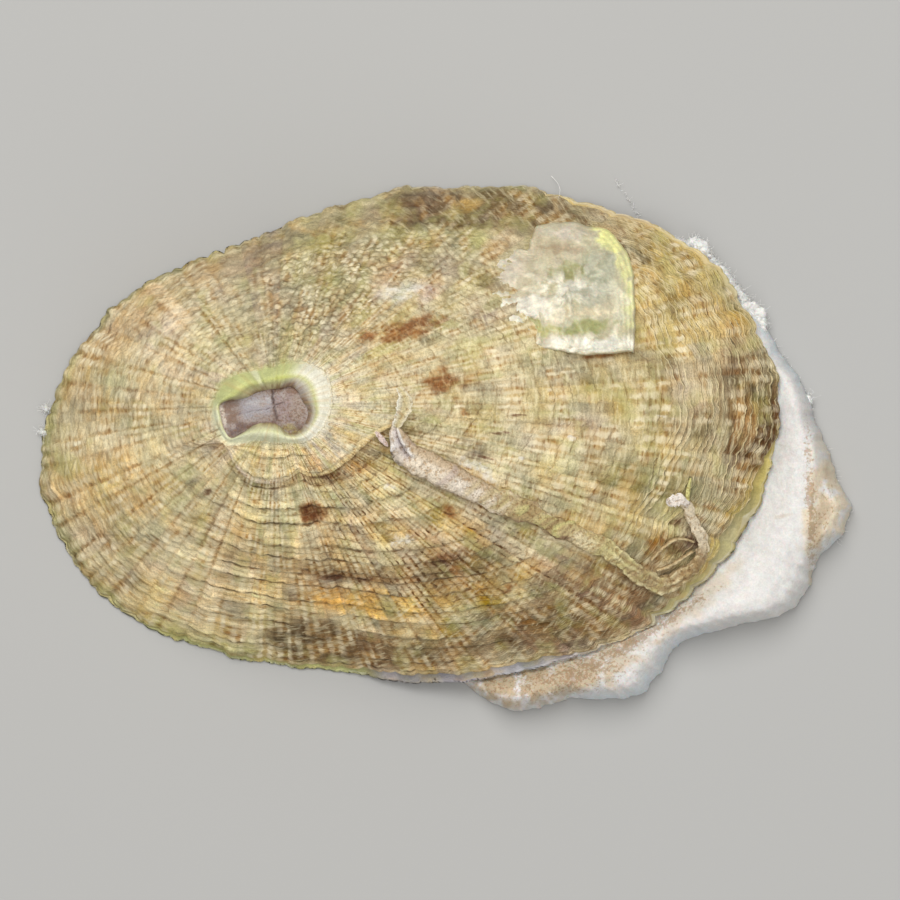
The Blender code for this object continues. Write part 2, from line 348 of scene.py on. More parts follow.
callusFoot = (
    (3.0, 0.2), (2.95, 1.1), (2.6, 1.75), (1.9, 2.2), (0.9, 2.3), (-0.2, 2.1), (-1.3, 1.8), (-2.2, 1.65),
    (-2.9, 1.1), (-3.2, 0.3), (-3.3, -0.4), (-3.0, -1.3), (-2.5, -1.95), (-1.7, -1.95), (-0.9, -1.9),
    (0.6, -2.0), (1.75, -1.85), (2.45, -1.25), (2.85, -0.5),
)
callusRings = (  # share of the way from foot to film, rise as a share, drop in mm
    (0.1, 0.45, 0), (0.26, 0.9, 0), (0.42, 1.0, 0), (0.58, 0.75, 0.02), (0.72, 0.3, 0.2), (0.86, 0.0, 0.5),
    (1.0, 0.0, 0.8),
)
callusKnobs = (  # direction in degrees, half angle, softness, how much more it rises
    (100, 10, 10, 0.6), (145, 8, 12, 0.4), (122, 2, 7, -0.7), (-95, 12, 18, 0.5),
)
wallRings = ((0.02, 1.1), (0.1, 1.35))  # out from the film's edge, below the top
brokenPlate = (  # direction in degrees, distance from the keyhole's centre
    (-150, 3.0), (-136, 3.25), (-126, 3.6), (-116, 3.9), (-106, 4.1), (-93, 4.0), (-80, 3.82), (-70, 3.6),
    (-64, 4.1), (-56, 4.4), (-44, 4.65), (-27, 5.0), (-16, 5.5), (0, 5.6),
)
rimLobes = (  # direction in degrees, half width, how far it stands out or in
    (60.5, 1.6, 0.16), (49.6, 1.4, 0.16), (41.3, 1.4, 0.14), (33.0, 1.2, 0.16), (26.5, 1.6, 0.2),
    (112.6, 1.6, 0.14), (109.6, 0.5, -0.16), (120.5, 2.2, 0.08), (134.0, 2.0, 0.08), (150.0, 2.5, 0.1),
    (-173.8, 2.6, 0.16), (-161.0, 2.4, 0.14), (-149.0, 2.2, 0.08), (165.0, 2.0, 0.1), (13.0, 0.8, -0.2),
    (4.0, 1.2, 0.2), (-8.0, 0.7, -0.12), (-29.0, 0.7, -0.25), (-42.0, 0.9, -0.15),
)
rimLips = (  # smooth new growth beyond the sculpture: direction, half angle, width, colour
    ("blue-grey", -57, 13, 0.44, (0.38, 0.36, 0.36)),
    ("olive", -12, 3.5, 0.6, (0.42, 0.34, 0.11)),
    ("pale olive", -22, 5, 0.34, (0.46, 0.40, 0.20)),
    ("tan upper hind", 25, 9, 0.2, (0.58, 0.47, 0.22)),
    ("green lower", -95, 20, 0.12, (0.44, 0.44, 0.20)),
)


def ribPlan():  # where ribs start on the rim, where grooves begin and how deep they are, and the folds
    ribs, rng = shellSizes["ribs"], np.random.default_rng(4)
    middles = asSeenFrom(form["centre"], alongLine(rimLine, (np.arange(ribs) + 0.5) / ribs, True))[0]
    widths = 1 + 0.12 * sector(middles, 180, 45, 40) - 0.14 * sector(middles, -75, 35, 30)
    widths = widths * (1 + 0.3 * rng.uniform(-1, 1, ribs))
    starts = np.concatenate([[0], np.cumsum(widths)]) / widths.sum()
    edge = np.arange(ribs + 1) % ribs
    minor, spread = np.isin(edge % 5, (1, 3)), rng.random(ribs + 1)
    begins = np.where(minor, 0.1 + 0.22 * spread, -0.1 + 0.1 * spread)
    faint = (edge % 2 == 1) * sector(middles[edge], 180, 60, 30)
    deep = np.where(minor, 0.8, 1.1) * rng.uniform(0.55, 1.3, ribs + 1) * (1 - 0.75 * faint)
    begins[-1], deep[-1] = begins[0], deep[0]
    sizes = rng.choice((2, 2, 2, 3), ribs)
    groups = np.concatenate([[0], np.cumsum(sizes)])
    groups = np.concatenate([groups[groups < ribs - 2], [ribs]])
    return starts, begins, deep, groups


def bySide(values, sides):  # a value for hind, lower side, front and upper side, blended round the shell
    return sum(value * side for value, side in zip(values, sides))


def muscleScar(angle):  # its share of the way out, and 1 except where it is open, in front
    place = shellSizes["scarPlace"] + shellSizes["scarSway"] * np.sin(2 * angle)
    return place, 1 - sector(angle, 180, 24, 12)


def shellPoints():
    ribs, perRib, lines = (shellSizes[key] for key in ("ribs", "columnsPerRib", "growthLines"))
    starts, begins, deep, groups = ribPlan()
    count = np.arange(ribs * perRib + 1) / perRib  # ribs passed at each column
    onRim = alongLine(rimLine, np.interp(count, range(ribs + 1), starts), True)
    angle, rim = asSeenFrom(form["centre"], onRim)
    angle = np.unwrap(angle)
    angle[-1], rim[-1] = angle[0] + fullTurn, rim[0]
    groupCount = np.interp(count, groups, range(len(groups)))
    groupPhase = groupCount % 1
    edge = reach(asSeenFrom((0, 0), smoothLine(keyholeEdge, True)), angle)
    foot = reach(asSeenFrom((0, 0), smoothLine(callusFoot, True)), angle)
    lobes = sum(out * np.exp(-(turnFrom(angle, at) / wide) ** 2) for at, wide, out in rimLobes)
    across = count % 1
    scallop = 1 - np.abs(2 * groupPhase - 1) ** 1.6 - 0.6
    hind, under = sector(angle, -5, 38, 22), sector(angle, -80, 35, 25)
    front, upper = sector(angle, 180, 45, 30), sector(angle, 75, 35, 25)
    sides = np.stack([hind, under, front, upper]) + 0.02
    sides = sides / sides.sum(axis=0)
    corner = sector(angle, -38, 16, 12)  # softer and patchier, at the hind lower side
    rx, ry = rim * np.cos(angle), rim * np.sin(angle)
    lobes = lobes + 0.12 * cloud(rx, ry, 1.7, 20) + 0.06 * cloud(rx, ry, 0.6, 19)
    lobes = lobes + 0.08 * scallop * (0.4 + hind)
    lobes = lobes + bySide(shellSizes["ribEnd"], sides) * (np.abs(np.sin(across * math.pi)) - 0.6)

    # growth lines, each a little wavy
    lip = sum(wide * sector(angle, at, half, 5) for _, at, half, wide, _ in rimLips) + 0.08
    step = np.arange(lines)[:, None]
    line = step / (lines - 1)
    line = mix(1.2 * line - 0.2 * line**2, np.interp(step, *np.transpose(hindSpacing)), sides[0])
    plate = np.interp(turnFrom(angle, 0), *np.transpose(brokenPlate))
    plateWindow = sector(angle, -80, 62, 18)
    own = foot + (rim - lip - foot) * line
    x, y = placeAt(angle, own)
    waves = (0.3 * cloud(x, y, 4.0, 21) + 0.1 * cloud(x, y, 1.3, 22)) * (0.45 + 0.55 * hind)
    ripple = cloud(rx + 0.08 * step, ry - 0.06 * step, 1.1, 23)
    ripple = ripple + 0.5 * cloud(rx + 0.05 * step, ry, 0.42, 24, 1)
    bow = scallop * bySide(shellSizes["scallop"], sides) + ripple * bySide(shellSizes["ripple"], sides)
    bow = bow * (0.15 + 0.85 * ease(0.6, 0.85, line)) * (1 - 0.6 * corner - 0.35 * hind * (1 - corner))
    stray = waves * (1 - ease(0.93, 1, line)) + bow * (1 - 0.7 * ease(0.97, 1, line))
    own = own + stray * ease(0, 0.12, line)
    plateLine = shellSizes["plateLine"]
    pull = (plate - own[plateLine]) * plateWindow
    heldLines = (0, plateLine, plateLine + shellSizes["plateFade"])
    held = np.interp(np.arange(lines), heldLines, (0, 1, 0))[:, None]
    own = np.concatenate([own + pull * held, rim[None]])
    own = np.minimum(np.maximum.accumulate(own, axis=0), rim)

    # rings of the outer surface, from the rim to the callus
    number = np.array([k + offset for k in range(lines) for offset in bandOffsets])[::-1]
    number = np.concatenate([[lines], number])
    low = np.minimum(number.astype(int), lines - 1)
    offset = (number - low)[:, None]
    radius = mix(own[low], own[low + 1], offset)
    share, height, steep = slopeAt(angle, radius)
    radius = radius + lobes * ease(0.86, 1, share)
    x, y = form["centre"][0] + radius * np.cos(angle), form["centre"][1] + radius * np.sin(angle)

    # relief
    rng = np.random.default_rng(6)
    left = np.floor(count).astype(int)
    right = np.minimum(left + 1, ribs)
    leftDepth = deep[left] * ease(begins[left], begins[left] + 0.08, share)
    rightDepth = deep[right] * ease(begins[right], begins[right] + 0.08, share)
    leftPart, rightPart = np.clip(1 - 2 * across, 0, 1) ** 1.8, np.clip(2 * across - 1, 0, 1) ** 1.8
    groove = leftDepth * leftPart + rightDepth * rightPart
    onEdge, onBack = offset > 0.7, (offset > 0.3) & (offset < 0.7)
    saw = np.where(onEdge, 1.0, np.where(onBack, 0.4, 0.0))
    smooth = (low >= lines - 1)[:, None] * np.ones(len(angle))  # the lip has no sculpture
    blurred = 0.5 * under * ease(0.62, 0.74, share) + 0.8 * hind * ease(0.7, 0.85, share)
    blurred = blurred + 0.6 * upper * ease(0.75, 0.9, share)
    ribSize = bySide(shellSizes["grooveDepth"], sides) * (1 - 0.7 * np.clip(blurred, 0, 1)) * (1 - smooth)
    broken = mix(1, ease(-0.5, 0.4, cloud(x, y, 1.6, 32)), 0.3 + 0.5 * (upper + front))
    bridged = 1 - onEdge * (0.65 - 0.3 * front)
    cellDepth = 1 + 0.45 * rng.uniform(-1, 1, (lines, ribs + 1))[low][:, np.round(count).astype(int) % ribs]
    pits = groove * broken * bridged * cellDepth
    worn = np.clip(0.65 + 0.6 * cloud(x, y, 2.6, 31), 0.25, 1.4)
    strong = np.where(np.isin(low % 5, (1, 4))[:, None], 1.35 + 0.35 * under, 0.65 - 0.3 * under)
    crested = np.isin(low, hindCrests)[:, None] * sector(angle, 5, 20, 12)
    growthEdge = bySide(shellSizes["growthEdge"], sides) * strong
    growthEdge = growthEdge + shellSizes["growthEdgeHind"] * crested * worn
    growthEdge = growthEdge * mix(worn, 1, 0.4) * ease(0.01, 0.1, share) * (1 - smooth)
    bead = rng.uniform(0, 1, (lines, ribs))[low][:, left % ribs] ** 1.5 - 0.35
    bead = bead * np.sin(across * math.pi) * np.where(onBack, 1.0, np.where(onEdge, 0.5, -0.1))
    fold = np.cos(fullTurn * (groupPhase - 0.5)) * bySide(shellSizes["foldHeight"], sides)
    raised = plateWindow * (number <= plateLine)[:, None] * (0.35 + 0.65 * ease(2.2, 5.0, radius))
    rowWindow = sector(angle, -72, 32, 8)
    above = rowWindow * (number <= shellSizes["darkRowLine"])[:, None] * ease(0.35, 0.5, share)
    rise = (0.35 - pits) * ribSize + growthEdge * saw
    rise = rise + bead * bySide(shellSizes["bead"], sides) * (1 - smooth) * (1 - 0.5 * np.clip(blurred, 0, 1))
    rise = rise + 0.5 * fold * ease(0.3, 0.75, share) * (1 - 0.5 * smooth) - 0.1 * smooth
    rise = rise + shellSizes["grain"] * cloud(x, y, 0.4, 41, 2) * (0.7 + 0.4 * upper) * (1 - 0.8 * smooth)
    rise = rise + bySide(shellSizes["lumps"], sides) * cloud(x, y, 0.27, 43, 1) * (1 - smooth)
    rise = rise + shellSizes["waves"] * cloud(x, y, 2.4, 42)
    rise = rise + shellSizes["plateStep"] * raised + shellSizes["darkRowStep"] * above
    cord = plateWindow * window(number, plateLine - 0.4, 0.3, 0.5)[:, None]
    rise = rise * (1 - 0.5 * cord) + shellSizes["plateRidge"] * cord
    rise[0] = shellSizes["edgeHeight"]
    tilt = np.hypot(steep, 1)
    outward = rise * steep / tilt
    outward[0] = 0
    radii, heights = [radius + outward], [np.maximum(height + rise / tilt, floorGap)]

    # callus, wall of the keyhole, inner surface and the flat of the rim
    knob = sum((more * sector(angle, at, half, soft) for at, half, soft, more in callusKnobs), 1)
    for way, up, down in callusRings:
        ring = foot + (edge - foot) * way
        _, top, _ = slopeAt(angle, ring)
        plain = np.minimum(top, form["top"] + 0.1)
        early = 0.12 * sector(angle, 20, 45, 20) * (0.5 < way < 0.9)  # the wall shows at the hind end
        radii.append(ring[None])
        heights.append((plain + shellSizes["callusRise"] * up * knob - down - early)[None])
    for out, down in wallRings:
        radii.append((edge + out)[None])
        heights.append(np.full((1, len(angle)), form["top"] - down))
    inner = np.linspace(0, 1, shellSizes["innerRings"])[:, None] ** 0.9
    hole, end = holeRadius(angle) + 0.15, rim - form["land"]
    start = np.maximum(hole, edge + 0.25)
    radius = start + (end - start) * inner
    inner = np.clip((radius - hole) / (end - hole), 0, 1)
    height = slopeHeight(angle, inner, form["top"] - form["wall"])
    height = height - 0.3 * np.exp(-((inner - 0.08) / 0.05) ** 2)
    scarAt, scarred = muscleScar(angle)
    scar = ease(0.02, -0.02, inner - scarAt) * scarred
    height = height - shellSizes["scarDepth"] * scar * ease(0.1, 0.3, inner)
    notches = 0.12 * (0.5 - np.abs(across - 0.5)) * ease(0.86, 0.96, inner)
    height = height + notches * (1 - ease(0.985, 1, inner))
    radii.append(radius)
    heights.append(height)
    radii.append((rim + lobes - shellSizes["rimFlat"])[None])
    heights.append(rimHeight(angle)[None])
    radii = np.concatenate(radii + [radii[0][:1]])
    heights = np.concatenate(heights + [heights[0][:1]])
    outside = len(number)
    growth = np.concatenate([number, -1 - np.arange(len(radii) - outside)])
    facts = {
        "angle": angle, "count": count, "groupCount": groupCount, "outside": outside, "growth": growth,
        "share": share, "sides": sides, "smooth": smooth, "blurred": np.clip(blurred, 0, 1),
        "plateWindow": plateWindow, "rowWindow": rowWindow, "crested": crested, "corner": corner,
        "presence": np.where(across < 0.5, leftDepth, rightDepth) * mix(cellDepth, 1, 0.3),
    }
    return radii, heights, facts


def buildShell():
    radii, heights, facts = shellPoints()
    rows, columns = radii.shape
    shell = gridMesh("limpet_shell", columns - 1, rows - 1)
    x, y = placeAt(facts["angle"], radii)
    writePoints(shell, x, y, heights)
    u = np.broadcast_to(facts["count"], radii.shape)
    v = np.broadcast_to(facts["growth"][:, None], radii.shape)
    writeMap(shell, "growth", u, v)
    for name, (colour, alpha) in shellPaint(x, y, facts, rows).items():
        writeColour(shell, name, colour, alpha)
    closeSeams(shell)
    settle(shell, "shell", shellMaterial())


shellWashes = (  # what it is, direction, half angle, share of the way out, half depth, colour, strength
    ("pale ring behind the keyhole", 0, 55, 0.08, 0.08, (0.60, 0.53, 0.39), 0.6),
    ("dark front ray", -119.3, 1.3, 0.65, 0.35, (0.34, 0.23, 0.11), 0.55),
    ("second dark front ray", -131, 1.0, 0.85, 0.15, (0.34, 0.24, 0.12), 0.4),
    ("dark front margin ray", -110, 1.2, 0.92, 0.12, (0.36, 0.26, 0.13), 0.5),
    ("cream front slope", 178, 34, 0.35, 0.28, (0.60, 0.49, 0.28), 0.6),
    ("tan front margin", 178, 50, 0.85, 0.14, (0.50, 0.38, 0.19), 0.6),
    ("green front edge", 180, 70, 1.0, 0.045, (0.33, 0.30, 0.13), 0.85),
    ("orange front patch", -154, 13, 0.66, 0.16, (0.74, 0.53, 0.24), 0.6),
    ("orange upper front", 150, 12, 0.80, 0.12, (0.56, 0.38, 0.17), 0.5),
    ("green lower front", -128, 8, 0.55, 0.3, (0.66, 0.58, 0.29), 0.4),
    ("pale lower front", -118, 14, 0.72, 0.14, (0.78, 0.65, 0.40), 0.75),
    ("green lower edge", -108, 18, 0.98, 0.05, (0.42, 0.41, 0.19), 0.7),
    ("grey-green lattice", -75, 30, 0.35, 0.17, (0.74, 0.64, 0.39), 0.75),
    ("cream lattice", -88, 20, 0.50, 0.09, (0.54, 0.41, 0.20), 0.65),
    ("dark row", -66, 26, 0.565, 0.035, (0.34, 0.21, 0.075), 0.75),
    ("orange row", -62, 20, 0.68, 0.055, (0.82, 0.47, 0.08), 0.8),
    ("grey-brown lower margin", -80, 13, 0.88, 0.085, (0.12, 0.068, 0.024), 0.95),
    ("brown lower margin", -60, 14, 0.88, 0.06, (0.21, 0.12, 0.04), 0.8),
    ("dark lower margin", -43, 8, 0.87, 0.08, (0.15, 0.09, 0.04), 0.9),
    ("grey-brown hind lower margin", -36, 8, 0.90, 0.08, (0.19, 0.12, 0.06), 0.85),
    ("olive-brown hind lower slope", -31, 10, 0.84, 0.11, (0.22, 0.135, 0.05), 0.85),
    ("brown hind lower corner", -30, 5, 0.93, 0.06, (0.24, 0.14, 0.06), 0.7),
    ("brown below the tube", -42, 11, 0.60, 0.1, (0.26, 0.16, 0.07), 0.75),
    ("brown hind lattice", -52, 18, 0.48, 0.15, (0.42, 0.29, 0.13), 0.4),
    ("olive hind slope", -8, 14, 0.72, 0.16, (0.50, 0.40, 0.19), 0.6),
    ("pale hind slope", -4, 12, 0.50, 0.13, (0.64, 0.54, 0.35), 0.6),
    ("grey hind patch", 1, 5, 0.80, 0.05, (0.46, 0.40, 0.27), 0.6),
    ("olive smudge", -3, 2.2, 0.83, 0.025, (0.22, 0.18, 0.08), 0.8),
    ("dark band inside the hind rim", -2, 9, 0.945, 0.065, (0.095, 0.042, 0.010), 1.0),
    ("orange brown inside the hind rim", 0, 4, 0.92, 0.03, (0.40, 0.24, 0.10), 0.7),
    ("new olive growth", -15, 6, 0.97, 0.03, (0.54, 0.40, 0.12), 0.9),
    ("tan upper hind", 17, 9, 0.80, 0.2, (0.46, 0.33, 0.11), 0.8),
    ("olive upper hind edge", 22, 9, 0.97, 0.06, (0.46, 0.36, 0.13), 0.7),
    ("granular upper side", 58, 30, 0.52, 0.22, (0.41, 0.335, 0.195), 0.7),
    ("green upper side", 50, 10, 0.72, 0.1, (0.43, 0.40, 0.19), 0.6),
    ("yellow-green upper rim", 58, 3, 0.93, 0.07, (0.50, 0.46, 0.18), 0.7),
    ("purple-brown upper margin", 47, 17, 0.89, 0.1, (0.17, 0.11, 0.055), 0.95),
    ("orange on the upper margin", 47, 2, 0.90, 0.04, (0.50, 0.33, 0.12), 0.7),
    ("brown upper spot", 55, 3.4, 0.86, 0.05, (0.18, 0.10, 0.05), 0.85),
    ("purple upper front margin", 94, 28, 0.88, 0.08, (0.33, 0.25, 0.15), 0.8),
    ("white upper patch", 42, 7, 0.46, 0.06, (0.56, 0.50, 0.40), 0.75),
    ("yellow-green line to the keyhole", 150, 22, 0.06, 0.05, (0.55, 0.52, 0.30), 0.6),
)
shellStains = (  # what it is, place, half length, half width, turn, channel (rust, brown, white), strength
    ("rust above the keyhole", -1.9, 6.4, 1.6, 0.5, 14, 0, 1.25),
    ("rust speck", -4.0, 6.0, 1.0, 0.3, 5, 0, 0.8),
    ("rust behind the keyhole", -0.3, 3.6, 0.65, 0.6, 5, 0, 1.25),
    ("brown beside the rust", 0.7, 3.5, 0.5, 0.4, 0, 0, 0.6),
    ("pale slab by the tube", 1.6, -0.85, 1.0, 0.3, -22, 2, 0.9),
    ("second pale slab by the tube", 2.2, -1.5, 0.6, 0.25, -22, 2, 0.8),
    ("orange dot", 1.0, 1.95, 0.26, 0.22, 0, 0, 0.8),
    ("rust below the tube", 0.2, -3.3, 0.5, 0.34, -20, 0, 1.0),
    ("red scratch", 5.7, 0.5, 0.4, 0.16, -60, 0, 0.8),
    ("red lower front speck", -12.6, -2.3, 0.22, 0.2, 0, 1, 0.9),
    ("brown square", -7.1, -3.4, 0.5, 0.42, 0, 1, 1.2),
    ("rust on the brown square", -7.0, -3.4, 0.55, 0.42, 0, 0, 2.0),
    ("rust line under the oyster", 8.4, 5.0, 1.3, 0.14, 6, 0, 0.8),
    ("dark gap in the row", -6.2, -6.85, 0.8, 0.16, 0, 1, 1.1),
    ("second dark gap", -4.4, -6.95, 0.6, 0.15, 4, 1, 1.0),
    ("third dark gap", -0.2, -5.9, 0.9, 0.26, 12, 1, 0.9),
    # painted shade under the broken plate's edge, laid as a brown stain
    ("dark under the broken plate", -6.4, -1.45, 1.4, 0.13, 8, 1, 0.8),
    ("dark crack", 3.9, 1.8, 0.45, 0.05, 3, 1, 1.2),
    ("dark crack below", 3.0, 0.85, 0.4, 0.05, 8, 1, 1.2),
    ("dark crack at the tube", 2.1, -0.45, 0.5, 0.06, -14, 1, 1.2),
    ("brown pit in the hook", 12.7, -5.2, 0.9, 0.42, 12, 1, 1.1),
    ("rust left of the hook", 11.3, -5.0, 0.9, 0.5, 30, 0, 0.7),
    ("brown pit under the flake", 12.35, -3.9, 0.4, 0.26, -10, 1, 0.8),
    ("brown beside the hook", 14.2, -3.1, 0.6, 0.3, -10, 0, 0.7),
    ("orange lower patch", 3.4, -7.4, 0.8, 0.4, 30, 0, 0.5),
    ("white speck", 6.7, 0.6, 0.17, 0.13, 0, 2, 1.4),
    ("second white speck", 4.0, -0.5, 0.14, 0.1, 0, 2, 1.0),
    ("white scar", 11.3, 1.8, 0.9, 0.08, -10, 2, 0.7),
    ("white above the keyhole", -2.2, 8.4, 1.3, 0.55, 10, 2, 0.6),
    ("white below the keyhole", -3.0, -2.0, 0.42, 0.22, 10, 2, 0.8),
    ("grey lower patch", -2.2, -4.8, 0.7, 0.4, 20, 2, 0.6),
)


def shellPaint(x, y, facts, rows):
    outside, angle, share, sides = (facts[key] for key in ("outside", "angle", "share", "sides"))
    smooth, blurred, corner, crested = (facts[key] for key in ("smooth", "blurred", "corner", "crested"))
    plateWindow, rowWindow, presence = (facts[key] for key in ("plateWindow", "rowWindow", "presence"))
    hind, under, front, upper = sides
    ox, oy = x[:outside], y[:outside]
    shape = ox.shape
    lines = facts["growth"][:outside]

    # base colour, blended round the shell
    bases = np.array([(0.49, 0.405, 0.236), (0.72, 0.575, 0.322), (0.69, 0.58, 0.352), (0.46, 0.385, 0.229)])
    colour = np.broadcast_to((sides.T @ bases)[None], shape + (3,)).copy()
    rng = np.random.default_rng(8)
    ribs, bands, count = shellSizes["ribs"], shellSizes["growthLines"], facts["count"]
    rib = np.floor(count + 0.001).astype(int) % ribs
    band = np.clip(lines.astype(int), 0, bands - 1)
    fold = np.floor(facts["groupCount"]).astype(int)
    number = lines[:, None]
    travel = np.hypot(ox - form["centre"][0], oy - form["centre"][1]) / shellSizes["patchUnit"]
    isStrong = np.isin(np.arange(bands + 1) % 5, (0, 2))
    layer = np.cumsum(isStrong)[band]  # a block lies between two strong growth lines, on one fold
    blockTone, blockWarm = rng.uniform(-1, 1, (2, bands, 110))[:, layer[:, None], fold[None]]
    blocky = bySide((0.8, 1.0, 0.4, 0.2), sides) * ease(0.1, 0.3, share)
    blocky = blocky * (1 + 0.6 * hind * ease(0.7, 0.85, share) + 0.3 * corner)

    broken = cloud(ox, oy, 1.5, 51)
    ragged = 1 + 0.35 * broken + 0.3 * blockTone * blocky
    for _, at, wide, out, deep, tint, strength in shellWashes:
        away = (turnFrom(angle, at) / wide) ** 2 + ((share - out) / deep) ** 2
        mask = ease(0.2, 0.75, np.exp(-away * 0.7) * ragged) * strength
        colour = tinted(colour, tint, mask)

    for _, at, half, _, tint in rimLips:
        colour = tinted(colour, tint, smooth * sector(angle, at, half + 2, 6))

    def cells(ribSize, lineSize, seed, octaves=2, out=travel):  # soft patches, sized in ribs and growth lines
        turns = [cloud((count - start) / ribSize, out / lineSize, 1, seed, octaves) for start in (0, ribs)]
        return mix(*turns, ease(ribs - 6, ribs, count))

    # each square, rib, fold and growth band has its own tone
    square = rng.uniform(-1, 1, (bands, ribs))[band[:, None], rib[None]]
    ribTone = rng.uniform(-1, 1, ribs)[rib] * ease(0.1, 0.35, share)
    foldTone, foldWarm, foldGreen = rng.uniform(-1, 1, (3, 110))[:, fold][:, None] * ease(0.15, 0.5, share)
    bandTone = np.interp(lines, np.arange(bands + 1), rng.uniform(-1, 1, bands + 1))[:, None]
    tone = 1 + 0.07 * square + 0.04 * ribTone + (0.07 - 0.04 * hind) * foldTone + 0.06 * bandTone
    tone = tone + 0.19 * blockTone * blocky + (0.12 + 0.12 * under) * cells(6.0, 0.9, 63, 2, number)
    tone = tone + (0.12 + 0.08 * under + 0.08 * hind) * cells(2.4, 3.0, 52) + 0.10 * cells(1.2, 1.6, 53, 1)
    tone = tone + (0.10 + 0.08 * upper) * cloud(ox, oy, 2.4, 50) + 0.05 * cloud(ox, oy, 0.4, 61)
    warm = 0.7 * cells(2.6, 3.4, 54) + 0.4 * cells(2.4, 0.9, 55, 2, number) + 0.4 * cloud(ox, oy, 2.0, 49)
    warm = np.maximum(warm + 0.2 * foldWarm + 0.4 * blockWarm * blocky, -0.2) * (1 + 0.6 * corner)
    green = 0.6 * cells(3.0, 5.0, 56) + 0.5 * cloud(ox, oy, 2.8, 48) + 0.3 * foldGreen
    green = green * (1 - 0.45 * under * (1 - corner) - 0.3 * front - 0.25 * hind)
    red, blue = tone + 0.05 * warm - 0.06 * green, tone - 0.27 * warm - 0.20 * green
    tints = np.stack([red, tone - 0.07 * warm + 0.02 * green, blue], axis=-1)
    colour = colour * mix(tints, 1, 0.4 * smooth[..., None])

    # dirt and painted shade in the pits and under the growth edges, pale beads and pale edges
    plateLine, rowLine = shellSizes["plateLine"], shellSizes["darkRowLine"]
    plate = plateWindow * ease(plateLine + 0.2, plateLine - 0.3, number)
    patchy = cloud(ox, oy, 2.0, 57)
    pit = bySide((0.12, 0.28, 0.16, 0.12), sides) + 0.28 * corner * window(share, 0.5, 0.2, 0.2)
    pit = pit * (1 + 0.9 * patchy) * mix(0.4, 1, ease(0.1, 0.3, share))
    pit = np.clip(pit, 0, 1) * (1 - 0.5 * blurred) * (1 - smooth) * presence * (1 - 0.6 * plate)
    nearest = np.round(lines).astype(int)
    strong = np.where(isStrong[nearest][:, None], 1, bySide((0.9, 0.25, 0.9, 0.9), sides))
    strong = strong * rng.uniform(0.8, 1.2, bands + 1)[nearest][:, None]
    gap = bySide((0.26, 1.1, 0.14, 0.25), sides) * (1 + 0.6 * cells(5.0, 1.4, 58)) * (1 - 0.15 * corner)
    gap = gap * strong * (1 - 0.35 * blurred) * (1 - 0.6 * sector(angle, -128, 14, 12))
    # painted shade just beyond each crisp crest at the hind end
    gap = gap + 0.12 * crested * np.clip(0.6 + patchy, 0, 1.6)
    gap = np.clip(gap, 0, 1) * (1 - smooth) * (1 - 0.5 * plate)
    pale = np.clip(bySide((0.55, 0.45, 0.5, 0.55), sides) + 0.4 * cells(2.4, 3.0, 59), 0, 1) * (1 - smooth)
    pale = pale * (1 - 0.75 * upper * ease(0.68, 0.85, share) - 0.35 * corner)
    crest = crested * 0.6 + bySide((0.08, 0.14, 0.1, 0.08), sides)
    crest = np.clip(crest * (0.85 + 0.5 * cloud(ox, oy, 1.2, 60)), 0, 1) * (1 - smooth)
    # how strongly the rib grooves are darkened, partly as painted shade
    ribAmount = bySide((0.18, 0.24, 0.5, 0.08), sides) + 0.2 * corner
    ribAmount = presence * ribAmount * (1 - 0.5 * blurred)
    ribAmount = ribAmount * np.clip(1 + 1.2 * cells(2.6, 3.4, 62), 0, 1.7)
    ribAmount = ribAmount * (1 - smooth) * (1 - 0.4 * plate)
    cord = plateWindow * window(number, plateLine - 0.35, 0.25, 0.4)
    cordTint = tinted((0.72, 0.60, 0.46), (0.70, 0.55, 0.27), ease(-95, -70, turnFrom(angle, 0)))
    colour = tinted(colour, cordTint, cord * 0.85)
    # painted shade below the broken plate's edge and below the dark row's step
    below = plateWindow * (0.5 + 0.5 * sector(angle, -48, 30, 10)) * window(number, plateLine + 0.5, 0.4, 0.6)
    below = np.maximum(below, rowWindow * window(number, rowLine + 0.4, 0.4, 0.4) * ease(-0.5, 0.2, patchy))
    colour = colour * (1 - 0.32 * below[..., None] * np.array((0.7, 1.0, 1.25)))
    pit, gap = np.maximum(pit, below * 0.4), np.maximum(gap, below * 0.8)
    # pits and gaps hold dirt and painted shade, the third channel pale beads
    dirtShadePale = np.stack([pit, gap, pale], axis=-1)
    grains = upper * mix(0.4, 1.0, sector(angle, 62, 22, 20) * window(share, 0.42, 0.2, 0.25))
    grains = grains + front * (0.25 + 0.3 * sector(angle, 130, 20, 25)) + 0.12 * hind
    grains = np.clip(grains, 0, 1) * (1 - smooth) * mix(0.4, 1, ease(0.08, 0.25, share))
    trim = np.stack([crest, grains, smooth], axis=-1)
    silt = np.clip(blurred * (0.25 + 0.5 * hind * ease(0.8, 0.9, share)), 0, 1) * (1 - smooth)

    stain = np.zeros(shape + (3,))
    for _, sx, sy, long, wide, turn, channel, strength in shellStains:
        spot = strength * spotMask(ox, oy, (sx, sy), long, wide, turn)
        stain[..., channel] = np.maximum(stain[..., channel], spot)
    for channel, tint, strength in ((1, (0.17, 0.075, 0.03), 0.85), (0, (0.24, 0.10, 0.028), 0.85)):
        mask = ease(0.25, 0.85, stain[..., channel] * (1 + 0.8 * cloud(ox, oy, 0.35, 69))) * strength
        colour = tinted(colour, tint, mask)
        dirtShadePale[..., 2] = dirtShadePale[..., 2] * (1 - 0.7 * mask)  # fewer pale beads on a stain

    full = (rows,) + shape[1:]
    paint = np.empty(full + (3,))
    paint[:outside] = colour
